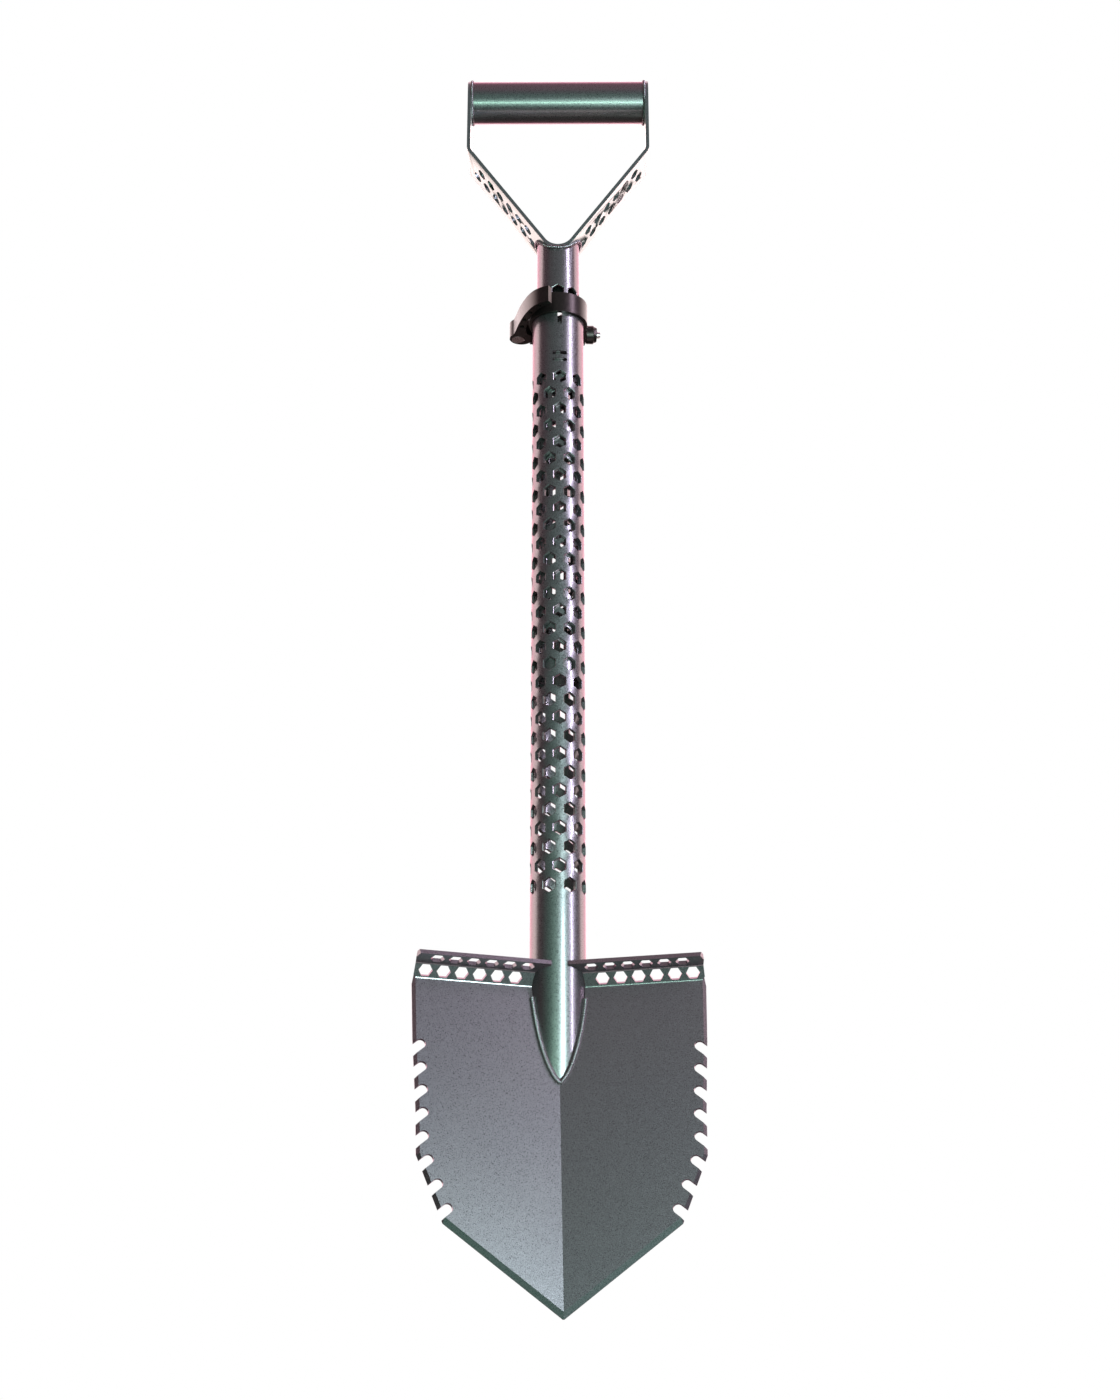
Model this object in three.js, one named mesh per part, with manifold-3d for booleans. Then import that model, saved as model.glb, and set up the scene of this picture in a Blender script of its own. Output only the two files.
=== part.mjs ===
// Telescoping digging shovel: perforated tubes, quick-release clamp, folded blade and D-handle.
// Units are millimetres, +Z up the shaft, the front of the blade faces -Y.
import * as THREE from 'three';
import { mergeVertices } from 'three/addons/utils/BufferGeometryUtils.js';
import Module from 'manifold-3d';

// Driving dimensions. Heights are measured from the middle of the outer tube's hole pattern.
const OUTER_R = 19.05;
const OUTER_BORE_R = 16.3;
const OUTER_TOP = 250.6;
const OUTER_BOTTOM = -352;
const INNER_R = 15.875;
const INNER_BORE_R = 13.9;
const INNER_TOP = 312;
const INNER_BOTTOM = -44.7;
const HEX_FLATS = 8.85;
const HOLES_AROUND = 8;
const OUTER_ROWS = 30;
const OUTER_ROW_STEP = 12.957;
const OUTER_FIRST_ROW = 181.4;
const INNER_ROWS = 27;
const INNER_ROW_STEP = 10.8;
const INNER_FIRST_ROW = 254.0;
const SLIT_WIDTH = 3.3;
const SLIT_DEPTH = 25.0;
const CROSS_SLOT = 10.5;
const FIT_GAP = 0.3;

const PLATE = 3.0;
const BLADE_LEAN = 14;
const CREASE = 9.8;
const BEND_LINE_SLOPE = 0.5;
const STEP_LINE_Z = -262.1;
const STEP_LINE_Y = -4.4;
const BEND = 40;
const WEB_LENGTH = 10.2;
const LIP_LENGTH = 11.2;
const STEP_HEX_FLATS = 8.0;
const STEP_HOLE_PITCH = 12.0;
const WEB_FIRST_HOLE = 29.9;
const WEB_HOLE_HEIGHT = 5.3;
const LIP_FIRST_HOLE = 23.6;
const LIP_HOLE_HEIGHT = 6.0;
const LIP_GAP_HALF = 5.6;
const BLADE_OUTLINE = [[98.2, -4], [96.4, 40], [93.2, 86], [92.2, 115], [74.6, 156.5], [0, 210.5]];
const BEVEL_WIDTH = 3.3;
const GULLETS = 8;
const GULLET_FIRST = 47.8;
const GULLET_STEP = 14.84;
const GULLET_R = 3.2;
const GULLET_DEPTH = 4.6;
const GULLET_ANGLE = 40;

const STRAP = 2.6;
const STRAP_DEPTH = 32;
const STRAP_HALF_WIDTH = 69.8;
const STRAP_TOP = 443.6;
const ARM_BEND_Z = 378;
const V_APEX_Z = 284.6;
const V_HALF_ANGLE = 36.3;
const V_BEND_R = 12;
const ARM_BEND_R = 7;
const STRAP_HEX_FLATS = 8.0;
const STRAP_HOLE_PITCH = 12.0;
const GRIP_R = 15.7;
const GRIP_BORE_R = 13.7;
const GRIP_Z = 427.6;
const HANDLE_TURN = -4.2;

const COLLAR_Z = 241.0;
const COLLAR_HEIGHT = 15.8;
const COLLAR_R = 21.9;
const EAR_LEFT = -14;
const EAR_RIGHT = 22.5;
const EAR_BACK = 32;
const SPLIT = 3;
const BOLT_Y = 27;
const BOLT_R = 2.5;
const BOLT_END = 34;
const PIVOT_X = -28.9;
const PIVOT_R = 5;
const CAM_R = 8.8;
const CAM_X = -26.5;
const CAM_Y = 25.2;
const LEVER_HEIGHT = 12.7;
const NUT_R = 7;
const NUT_LENGTH = 8.6;

const wasm = await Module();
wasm.setup();
const { Manifold, Mesh } = wasm;
const rad = THREE.MathUtils.degToRad;

// ---- joining and cutting -------------------------------------------------------------------
function solid(geometry) {
  const plain = new THREE.BufferGeometry();
  const source = geometry.index ? geometry : geometry.clone();
  plain.setAttribute('position', source.getAttribute('position').clone());
  if (source.index) {
    plain.setIndex(source.index.clone());
  }
  const merged = mergeVertices(plain, 1e-4);
  const mesh = new Mesh({
    numProp: 3,
    vertProperties: new Float32Array(merged.getAttribute('position').array),
    triVerts: new Uint32Array(merged.index.array),
  });
  mesh.merge();
  return new Manifold(mesh);
}

function geometryOf(body, tolerance = 0.004) {
  const mesh = body.asOriginal().simplify(tolerance).getMesh();
  const geometry = new THREE.BufferGeometry();
  geometry.setAttribute('position', new THREE.BufferAttribute(new Float32Array(mesh.vertProperties), 3));
  geometry.setIndex(new THREE.BufferAttribute(new Uint32Array(mesh.triVerts), 1));
  return geometry;
}

function subtractAll(body, cutters) {
  let result = body;
  for (const cutter of cutters) {
    result = result.subtract(cutter);
  }
  return result;
}

// ---- small shape makers --------------------------------------------------------------------
function box(x0, x1, y0, y1, z0, z1) {
  const geometry = new THREE.BoxGeometry(x1 - x0, y1 - y0, z1 - z0);
  geometry.translate((x0 + x1) / 2, (y0 + y1) / 2, (z0 + z1) / 2);
  return solid(geometry);
}

function prism(points, depth) {
  const shape = new THREE.Shape(points.map(([x, y]) => new THREE.Vector2(x, y)));
  return new THREE.ExtrudeGeometry(shape, { depth, bevelEnabled: false, steps: 1 });
}

function cylinder(radius, length, axis, x, y, z, segments = 32) {
  const geometry = new THREE.CylinderGeometry(radius, radius, length, segments);
  if (axis === 'x') {
    geometry.rotateZ(Math.PI / 2);
  }
  if (axis === 'z') {
    geometry.rotateX(Math.PI / 2);
  }
  geometry.translate(x, y, z);
  return solid(geometry);
}

function hexPoints(flats, cornerAngle) {
  const radius = flats / Math.sqrt(3);
  const points = [];
  for (let i = 0; i < 6; i++) {
    const angle = rad(cornerAngle + 60 * i);
    points.push([radius * Math.cos(angle), radius * Math.sin(angle)]);
  }
  return points;
}

// Tube with a staggered hexagon pattern, built straight from the rings of hexagon corners.
function perforatedTube(outerR, innerR, bottom, top, firstRow, rowStep, rows, flats) {
  const positions = [];
  const index = [];
  const lookup = new Map();
  const half = flats / 2 / outerR;
  const point = flats / Math.sqrt(3);
  const turn = (2 * Math.PI) / HOLES_AROUND;
  const vertex = (angle, z, surface) => {
    const wrapped = ((angle % (2 * Math.PI)) + 2 * Math.PI) % (2 * Math.PI);
    const key = `${Math.round(wrapped * 1e5) % 628319}_${Math.round(z * 1e3)}_${surface}`;
    if (!lookup.has(key)) {
      const radius = surface === 0 ? outerR : innerR;
      lookup.set(key, positions.length / 3);
      positions.push(radius * Math.sin(angle), -radius * Math.cos(angle), z);
    }
    return lookup.get(key);
  };
  // A face runs anticlockwise seen from outside the tube; the bore gets its mirror.
  const face = (corners) => {
    for (let i = 1; i < corners.length - 1; i++) {
      const loop = [corners[0], corners[i], corners[i + 1]];
      index.push(...loop.map(([a, z]) => vertex(a, z, 0)));
      index.push(...loop.reverse().map(([a, z]) => vertex(a, z, 1)));
    }
  };
  const wall = (a, b) => {
    const quad = [vertex(...a, 0), vertex(...b, 0), vertex(...b, 1), vertex(...a, 1)];
    index.push(quad[0], quad[1], quad[2], quad[0], quad[2], quad[3]);
  };
  for (let row = 0; row < rows; row++) {
    const z = firstRow - row * rowStep;
    for (let j = 0; j < HOLES_AROUND; j++) {
      const c = (j + (row % 2) / 2) * turn;
      const n = c + turn;
      const hex = [[c, z + point], [c - half, z + point / 2], [c - half, z - point / 2],
        [c, z - point], [c + half, z - point / 2], [c + half, z + point / 2]];
      for (let k = 0; k < 6; k++) {
        wall(hex[k], hex[(k + 1) % 6]);
      }
      const right = [hex[5], hex[4], [n - half, z - point / 2], [n - half, z + point / 2]];
      face(right);
      const crown = [c + turn / 2, z + point];
      const foot = [c + turn / 2, z - point];
      if (row === 0) {
        face([hex[5], [n - half, z + point / 2], crown]);
        const rim = [hex[0], hex[5], crown, [n - half, z + point / 2], [n, z + point]];
        for (let k = 0; k < 4; k++) {
          face([rim[k], rim[k + 1], [rim[k + 1][0], top], [rim[k][0], top]]);
          wall([rim[k][0], top], [rim[k + 1][0], top]);
        }
      }
      if (row === rows - 1) {
        face([hex[4], foot, [n - half, z - point / 2]]);
        const rim = [hex[3], hex[4], foot, [n - half, z - point / 2], [n, z - point]];
        for (let k = 0; k < 4; k++) {
          face([rim[k + 1], rim[k], [rim[k][0], bottom], [rim[k + 1][0], bottom]]);
          wall([rim[k + 1][0], bottom], [rim[k][0], bottom]);
        }
      } else {
        const below = z - rowStep;
        const m = c + turn / 2;
        const left = c - turn / 2;
        face([hex[4], [m, below + point], [n - half, z - point / 2]]);
        face([hex[3], [m - half, below + point / 2], [m, below + point], hex[4]]);
        face([hex[3], hex[2], [left, below + point], [left + half, below + point / 2]]);
        face([hex[3], [left + half, below + point / 2], [m - half, below + point / 2]]);
      }
    }
  }
  const geometry = new THREE.BufferGeometry();
  geometry.setAttribute('position', new THREE.BufferAttribute(new Float32Array(positions), 3));
  geometry.setIndex(index);
  return geometry;
}

function ringTube(outerR, innerR, length, segments = 48) {
  const profile = [[innerR, 0], [outerR, 0], [outerR, length], [innerR, length], [innerR, 0]];
  return new THREE.LatheGeometry(profile.map(([x, y]) => new THREE.Vector2(x, y)), segments);
}

// Bead swept through points; `outs` are the sideways directions and the size ripples along it.
function bead(points, outs, size, closed, lifts) {
  const sides = 8;
  const positions = [];
  const index = [];
  const count = points.length;
  for (let i = 0; i < count; i++) {
    const radius = size * (i % 2 ? 1.1 : 0.9);
    for (let k = 0; k < sides; k++) {
      const angle = (2 * Math.PI * k) / sides;
      const p = points[i].clone();
      p.addScaledVector(outs[i], radius * Math.cos(angle));
      p.addScaledVector(lifts[i], radius * Math.sin(angle));
      positions.push(p.x, p.y, p.z);
    }
  }
  const spans = closed ? count : count - 1;
  for (let i = 0; i < spans; i++) {
    for (let k = 0; k < sides; k++) {
      const a = i * sides + k;
      const b = i * sides + ((k + 1) % sides);
      const c = ((i + 1) % count) * sides + k;
      const d = ((i + 1) % count) * sides + ((k + 1) % sides);
      index.push(a, c, b, b, c, d);
    }
  }
  if (!closed) {
    for (let k = 1; k < sides - 1; k++) {
      const last = (count - 1) * sides;
      index.push(0, k, k + 1, last, last + k + 1, last + k);
    }
  }
  const geometry = new THREE.BufferGeometry();
  geometry.setAttribute('position', new THREE.BufferAttribute(new Float32Array(positions), 3));
  geometry.setIndex(index);
  let body = solid(geometry);
  if (body.volume() < 0) {
    for (let i = 0; i < index.length; i += 3) {
      [index[i], index[i + 1]] = [index[i + 1], index[i]];
    }
    geometry.setIndex(index);
    body = solid(geometry);
  }
  return body;
}

// ---- tubes -----------------------------------------------------------------------------------
function outerTube() {
  let body = solid(perforatedTube(OUTER_R, OUTER_BORE_R, OUTER_BOTTOM, OUTER_TOP,
    OUTER_FIRST_ROW, OUTER_ROW_STEP, OUTER_ROWS, HEX_FLATS));
  const slitEnd = OUTER_TOP - SLIT_DEPTH;
  body = body.subtract(box(-SLIT_WIDTH / 2, SLIT_WIDTH / 2, -25, 0, slitEnd, OUTER_TOP + 5));
  body = body.subtract(cylinder(SLIT_WIDTH / 2, 25, 'y', 0, -12.5, slitEnd, 12));
  // Two plain cross slots above the holes.
  for (const z of [195.2, 200.8]) {
    body = body.subtract(box(-CROSS_SLOT / 2, CROSS_SLOT / 2, -25, 0, z - 1.4, z + 1.4));
  }
  // Oblique lower end, higher at the back.
  const cutter = new THREE.BoxGeometry(80, 160, 80);
  cutter.translate(0, 0, -40);
  cutter.rotateX(rad(50));
  cutter.translate(0, 19, -300);
  return geometryOf(body.subtract(solid(cutter)));
}

// Centre line of the handle strap from the bottom of the V to the top of the right arm.
function strapLine() {
  const a = rad(V_HALF_ANGLE);
  const r = V_BEND_R + STRAP / 2;
  const apex = V_APEX_Z - STRAP / 2 / Math.sin(a);
  const centre = apex + r / Math.sin(a);
  const points = [];
  for (let i = 0; i <= 6; i++) {
    const angle = (Math.PI / 2 - a) * (i / 6);
    points.push([r * Math.sin(angle), centre - r * Math.cos(angle), angle]);
  }
  const armX = STRAP_HALF_WIDTH - STRAP / 2;
  const cornerZ = apex + armX / Math.tan(a);
  const reach = (ARM_BEND_R + STRAP / 2) * Math.tan(a / 2);
  const cx = armX - (ARM_BEND_R + STRAP / 2);
  const cz = cornerZ + reach;
  for (let i = 0; i <= 4; i++) {
    const angle = Math.PI / 2 - a + a * (i / 4);
    points.push([cx + (ARM_BEND_R + STRAP / 2) * Math.sin(angle),
      cz - (ARM_BEND_R + STRAP / 2) * Math.cos(angle), angle]);
  }
  points.push([armX, STRAP_TOP, Math.PI / 2]);
  return points;
}

function strapSide(offset) {
  const side = strapLine().map(([x, z, angle]) =>
    [x + offset * Math.sin(angle), z - offset * Math.cos(angle)]);
  const mirrored = side.slice(1).reverse().map(([x, z]) => [-x, z]);
  return mirrored.concat(side);
}

function standing(points, depth) {
  const geometry = prism(points, depth);
  geometry.rotateX(Math.PI / 2);
  geometry.translate(0, depth / 2, 0);
  return geometry;
}

function handleStrap() {
  const under = strapSide(STRAP / 2);
  const upper = strapSide(-STRAP / 2);
  let body = solid(standing(under.concat(upper.reverse()), STRAP_DEPTH));
  const line = strapLine();
  const start = new THREE.Vector2(line[6][0], line[6][1]);
  const end = new THREE.Vector2(line[7][0], line[7][1]);
  const along = end.clone().sub(start);
  const length = along.length();
  along.normalize();
  for (const side of [-1, 1]) {
    for (const row of [-1, 1]) {
      const first = row < 0 ? 19 : 13;
      for (let s = first; s < length - 6; s += STRAP_HOLE_PITCH) {
        const cutter = prism(hexPoints(STRAP_HEX_FLATS, 0), 10);
        cutter.translate(0, 0, -5);
        cutter.rotateY(-rad(90 - V_HALF_ANGLE));
        cutter.translate(start.x + along.x * s, row * 5.2, start.y + along.y * s);
        if (side < 0) {
          cutter.rotateZ(Math.PI);
          cutter.translate(0, 2 * row * 5.2, 0);
        }
        body = body.subtract(solid(cutter));
      }
    }
  }
  // The arms end in half circles round the grip tube.
  const rounded = [[-STRAP_DEPTH / 2, 200], [STRAP_DEPTH / 2, 200]];
  for (let i = 0; i <= 24; i++) {
    const angle = (Math.PI * i) / 24;
    rounded.push([(STRAP_DEPTH / 2) * Math.cos(angle), GRIP_Z + (STRAP_DEPTH / 2) * Math.sin(angle)]);
  }
  const keep = prism(rounded, 200);
  keep.translate(0, 0, -100);
  keep.applyMatrix4(new THREE.Matrix4().makeBasis(new THREE.Vector3(0, 1, 0),
    new THREE.Vector3(0, 0, 1), new THREE.Vector3(1, 0, 0)));
  return geometryOf(body.intersect(solid(keep)));
}

function innerTube() {
  let body = solid(perforatedTube(INNER_R, INNER_BORE_R, INNER_BOTTOM, INNER_TOP,
    INNER_FIRST_ROW, INNER_ROW_STEP, INNER_ROWS, HEX_FLATS));
  // The top is coped to the underside of the strap.
  const under = strapSide(STRAP / 2 + FIT_GAP).filter(([, z]) => z < ARM_BEND_Z);
  const first = under[0];
  const last = under[under.length - 1];
  const cutter = standing(under.concat([[last[0], 500], [first[0], 500]]), 80);
  return geometryOf(body.subtract(solid(cutter)));
}

function gripTube() {
  const half = STRAP_HALF_WIDTH - STRAP - FIT_GAP;
  const geometry = ringTube(GRIP_R, GRIP_BORE_R, 2 * half, 40);
  geometry.rotateZ(-Math.PI / 2);
  geometry.translate(-half, 0, GRIP_Z);
  return geometryOf(solid(geometry));
}

function gripWeld(side) {
  const root = GRIP_R + 0.25;
  const profile = [[root, 0.3], [root + 0.9, 0.3], [root + 0.5, 1.2], [root, 1.7], [root, 0.3]];
  const geometry = new THREE.LatheGeometry(profile.map(([x, y]) => new THREE.Vector2(x, y)), 32);
  geometry.rotateZ(side * Math.PI / 2);
  geometry.translate(side * (STRAP_HALF_WIDTH - STRAP), 0, GRIP_Z);
  return geometryOf(solid(geometry));
}

function strapWeld() {
  const line = strapSide(STRAP / 2 + FIT_GAP);
  const height = (x) => {
    for (let i = 1; i < line.length; i++) {
      if (x <= line[i][0]) {
        const t = (x - line[i - 1][0]) / (line[i][0] - line[i - 1][0]);
        return line[i - 1][1] + t * (line[i][1] - line[i - 1][1]);
      }
    }
    return line[line.length - 1][1];
  };
  const points = [];
  const outs = [];
  const lifts = [];
  for (let i = 0; i < 44; i++) {
    const angle = (2 * Math.PI * i) / 44;
    const out = new THREE.Vector3(Math.sin(angle), -Math.cos(angle), 0);
    const x = (INNER_R + 0.9) * out.x;
    points.push(new THREE.Vector3(x, (INNER_R + 0.9) * out.y, height(x) - 0.7));
    outs.push(out);
    lifts.push(new THREE.Vector3(0, 0, 1));
  }
  let body = bead(points, outs, 1.9, true, lifts);
  body = body.subtract(cylinder(INNER_R + 0.3, 80, 'z', 0, 0, 300, 48));
  const first = line[0];
  const last = line[line.length - 1];
  const above = standing(line.concat([[last[0], 500], [first[0], 500]]), 80);
  body = body.subtract(solid(above));
  return geometryOf(body);
}

// ---- blade -------------------------------------------------------------------------------------
// One half is made flat: u runs outward, v runs down from the step line, w out of the front face.
function placeHalf(geometry, side) {
  geometry.rotateY(-side * rad(CREASE));
  const basis = new THREE.Matrix4();
  const lean = rad(BLADE_LEAN);
  basis.makeBasis(new THREE.Vector3(1, 0, 0),
    new THREE.Vector3(0, Math.sin(lean), Math.cos(lean)),
    new THREE.Vector3(0, -Math.cos(lean), Math.sin(lean)));
  geometry.applyMatrix4(basis);
  geometry.translate(0, STEP_LINE_Y, STEP_LINE_Z);
  return geometry;
}

// Frame of the folded strip number `fold` (0 blade, 1 web, 2 lip) in the flat half.
function foldFrame(side, fold) {
  const frame = new THREE.Matrix4().makeRotationZ(side * rad(BEND_LINE_SLOPE));
  const bend = new THREE.Matrix4().makeRotationX(rad(BEND));
  if (fold > 0) {
    frame.multiply(bend);
  }
  if (fold > 1) {
    frame.multiply(new THREE.Matrix4().makeTranslation(0, WEB_LENGTH, 0));
    frame.multiply(bend);
  }
  return frame;
}

// Blade, web and lip of one half as one folded sheet of constant thickness.
function foldedSheet(side) {
  const headings = [0, rad(BEND), rad(2 * BEND)];
  const lengths = [230, WEB_LENGTH, LIP_LENGTH];
  const front = [[-230, 0]];
  const back = [[-230, -PLATE]];
  for (let i = 0; i < 3; i++) {
    const [y, w] = front[i];
    const heading = headings[i];
    front.push([y + lengths[i] * Math.cos(heading), w + lengths[i] * Math.sin(heading)]);
    const turn = i < 2 ? headings[i + 1] - heading : 0;
    const mitre = heading + turn / 2;
    const reach = PLATE / Math.cos(turn / 2);
    const [fy, fw] = front[i + 1];
    back.push([fy + reach * Math.sin(mitre), fw - reach * Math.cos(mitre)]);
  }
  const geometry = prism(front.concat(back.reverse()), 150);
  const basis = new THREE.Matrix4().makeBasis(new THREE.Vector3(0, 1, 0),
    new THREE.Vector3(0, 0, 1), new THREE.Vector3(1, 0, 0));
  geometry.applyMatrix4(basis);
  geometry.translate(side < 0 ? -120 : -30, 0, 0);
  geometry.rotateZ(side * rad(BEND_LINE_SLOPE));
  return placeHalf(geometry, side);
}

function outlinePrism(side) {
  const outline = BLADE_OUTLINE.map(([u, v]) => [side * u, -v]);
  const top = side * BLADE_OUTLINE[0][0];
  outline.unshift([-side * 14, 60], [top, 60]);
  outline.push([-side * 14, -BLADE_OUTLINE[5][1]]);
  if (side > 0) {
    outline.reverse();
  }
  const geometry = prism(outline, 90);
  geometry.translate(0, 0, -30);
  return placeHalf(geometry, side);
}

function bevels(side) {
  const cutters = [];
  for (let i = 0; i < BLADE_OUTLINE.length - 1; i++) {
    const [u0, v0] = BLADE_OUTLINE[i];
    const [u1, v1] = BLADE_OUTLINE[i + 1];
    const from = new THREE.Vector2(u0, -v0);
    const along = new THREE.Vector2(u1, -v1).sub(from);
    const length = along.length();
    const heading = Math.atan2(along.y, along.x);
    const lift = Math.atan2(PLATE - 0.5, i === 4 ? BEVEL_WIDTH : 2.2);
    const cutter = new THREE.BoxGeometry(length + 12, 12, 8);
    cutter.translate(length / 2, 6, 4);
    cutter.rotateX(-lift);
    cutter.translate(0, -(i === 4 ? BEVEL_WIDTH : 2.2), 0);
    cutter.rotateZ(heading);
    cutter.translate(from.x, from.y, 0);
    if (side < 0) {
      cutter.scale(-1, 1, 1);
      const order = cutter.index.array;
      for (let k = 0; k < order.length; k += 3) {
        [order[k], order[k + 1]] = [order[k + 1], order[k]];
      }
    }
    cutters.push(solid(placeHalf(cutter, side)));
  }
  return cutters;
}

function edgeAt(v) {
  for (let i = 1; i < BLADE_OUTLINE.length; i++) {
    const [u1, v1] = BLADE_OUTLINE[i];
    if (v <= v1) {
      const [u0, v0] = BLADE_OUTLINE[i - 1];
      return u0 + ((v - v0) / (v1 - v0)) * (u1 - u0);
    }
  }
  return 0;
}

function gullets(side) {
  const cutters = [];
  for (let i = 0; i < GULLETS; i++) {
    const v = GULLET_FIRST + i * GULLET_STEP;
    const points = [];
    for (let k = 0; k <= 8; k++) {
      const angle = Math.PI / 2 + (Math.PI * k) / 8;
      points.push([GULLET_R * Math.cos(angle), GULLET_R * Math.sin(angle)]);
    }
    points.push([18, -GULLET_R], [18, GULLET_R]);
    const cutter = prism(points, 12);
    cutter.translate(0, 0, -8);
    cutter.rotateZ(-rad(GULLET_ANGLE));
    cutter.translate(edgeAt(v) - GULLET_DEPTH, -v + GULLET_DEPTH * Math.tan(rad(GULLET_ANGLE)), 0);
    if (side < 0) {
      cutter.scale(-1, 1, 1);
      const array = cutter.getAttribute('position').array;
      for (let k = 0; k < array.length; k += 9) {
        for (let c = 0; c < 3; c++) {
          [array[k + c], array[k + 3 + c]] = [array[k + 3 + c], array[k + c]];
        }
      }
    }
    cutters.push(solid(placeHalf(cutter, side)));
  }
  return cutters;
}

function stepHoles(side) {
  const cutters = [];
  for (const [fold, first, height] of [[1, WEB_FIRST_HOLE, WEB_HOLE_HEIGHT],
    [2, LIP_FIRST_HOLE, LIP_HOLE_HEIGHT]]) {
    for (let i = 0; i < 6; i++) {
      const cutter = prism(hexPoints(STEP_HEX_FLATS, 0), 12);
      cutter.translate(side * (first + i * STEP_HOLE_PITCH), height, -8);
      cutter.applyMatrix4(foldFrame(side, fold));
      cutters.push(solid(placeHalf(cutter, side)));
    }
  }
  return cutters;
}

function blade() {
  const halves = [];
  for (const side of [-1, 1]) {
    let half = solid(foldedSheet(side)).intersect(solid(outlinePrism(side)));
    // Outer end of the step: slightly tapered, with the free corner cut off.
    const outer = new THREE.BoxGeometry(60, 60, 40);
    outer.translate(30, 0, 20);
    outer.rotateY(-rad(10));
    outer.translate(96.8, -10, -261);
    const chamfer = new THREE.BoxGeometry(40, 80, 40);
    chamfer.translate(20, 0, 0);
    chamfer.rotateZ(-rad(36));
    chamfer.translate(93.6, -31, -238);
    for (const cutter of [outer, chamfer]) {
      if (side < 0) {
        cutter.scale(-1, 1, 1);
        const order = cutter.index.array;
        for (let k = 0; k < order.length; k += 3) {
          [order[k], order[k + 1]] = [order[k + 1], order[k]];
        }
      }
      half = half.subtract(solid(cutter));
    }
    half = subtractAll(half, stepHoles(side));
    half = subtractAll(half, gullets(side));
    half = subtractAll(half, bevels(side));
    const keep = side < 0 ? box(-200, 0, -200, 200, -600, 0) : box(0, 200, -200, 200, -600, 0);
    halves.push(half.intersect(keep));
  }
  let body = halves[0].add(halves[1]);
  body = body.subtract(cylinder(OUTER_R + FIT_GAP, 600, 'z', 0, 0, -200, 48));
  body = body.subtract(box(-LIP_GAP_HALF, LIP_GAP_HALF, -40, 0, -259, -200));
  return geometryOf(body, 0.02);
}

// ---- clamp -------------------------------------------------------------------------------------
function collar() {
  const bottom = COLLAR_Z - COLLAR_HEIGHT / 2;
  const top = COLLAR_Z + COLLAR_HEIGHT / 2;
  let body = cylinder(COLLAR_R, COLLAR_HEIGHT, 'z', 0, 0, COLLAR_Z, 64);
  const ears = prism([[EAR_LEFT, 6], [EAR_RIGHT, 6], [EAR_RIGHT, 29], [EAR_RIGHT - 3, EAR_BACK],
    [EAR_LEFT + 3, EAR_BACK], [EAR_LEFT, 29]], COLLAR_HEIGHT);
  ears.translate(0, 0, bottom);
  body = body.add(solid(ears));
  body = body.subtract(cylinder(OUTER_R + FIT_GAP, 60, 'z', 0, 0, COLLAR_Z, 64));
  body = body.subtract(box(-SPLIT / 2, SPLIT / 2, 0, 60, bottom - 5, top + 5));
  body = body.subtract(cylinder(BOLT_R + 0.5, 120, 'x', 0, BOLT_Y, COLLAR_Z, 24));
  // Relief groove round the outside, broken by the ears.
  return geometryOf(body);
}

function camWasher() {
  let body = box(-19.6, EAR_LEFT - FIT_GAP, BOLT_Y - 6.5, BOLT_Y + 5, COLLAR_Z - 7, COLLAR_Z + 7);
  body = body.subtract(cylinder(CAM_R + 0.3, 40, 'z', CAM_X, CAM_Y, COLLAR_Z, 48));
  body = body.subtract(cylinder(BOLT_R + 0.5, 120, 'x', 0, BOLT_Y, COLLAR_Z, 24));
  return geometryOf(body);
}

function leverOutline() {
  const spine = new THREE.CatmullRomCurve3([
    new THREE.Vector3(CAM_X, CAM_Y, 8.4),
    new THREE.Vector3(-27.4, 15.5, 4.4),
    new THREE.Vector3(-26.0, 0, 2.85),
    new THREE.Vector3(-22.6, -12.5, 2.75),
    new THREE.Vector3(-18.4, -21.7, 2.9),
    new THREE.Vector3(-13.6, -27.6, 2.7),
    new THREE.Vector3(-8.1, -31.6, 2.2),
  ], false, 'centripetal');
  const left = [];
  const right = [];
  const count = 22;
  for (let i = 2; i <= count; i++) {
    const p = spine.getPoint(i / count);
    const t = spine.getTangent(i / count);
    const n = new THREE.Vector2(-t.y, t.x).normalize();
    left.push([p.x - n.x * p.z, p.y - n.y * p.z]);
    right.push([p.x + n.x * p.z, p.y + n.y * p.z]);
  }
  return left.concat(right.reverse());
}

function lever() {
  const bottom = COLLAR_Z - LEVER_HEIGHT / 2;
  const arm = prism(leverOutline().reverse(), LEVER_HEIGHT);
  arm.translate(0, 0, bottom);
  let body = solid(arm);
  body = body.add(cylinder(CAM_R, LEVER_HEIGHT, 'z', CAM_X, CAM_Y, COLLAR_Z, 40));
  body = body.subtract(cylinder(PIVOT_R + 0.3, 40, 'z', PIVOT_X, BOLT_Y, COLLAR_Z, 32));
  const fork = [[0, 0]];
  for (let i = 0; i <= 10; i++) {
    const angle = rad(-34 + (i * 200) / 10);
    fork.push([16 * Math.cos(angle), 16 * Math.sin(angle)]);
  }
  const slot = prism(fork, 6.6);
  slot.translate(PIVOT_X, BOLT_Y, COLLAR_Z - 3.3);
  body = body.subtract(solid(slot));
  for (const [x, y, r] of [[-26.6, 6.4, 1.7], [-25.2, -4.2, 1.6], [-21.6, -14.9, 1.6], [-15.6, -25.4, 1.6]]) {
    body = body.subtract(cylinder(r, 8, 'z', x, y, bottom, 16));
  }
  return geometryOf(body);
}

function leverPivot() {
  let body = cylinder(PIVOT_R, LEVER_HEIGHT, 'z', PIVOT_X, BOLT_Y, COLLAR_Z, 32);
  body = body.subtract(cylinder(BOLT_R + 0.3, 30, 'x', PIVOT_X, BOLT_Y, COLLAR_Z, 24));
  return geometryOf(body);
}

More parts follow.
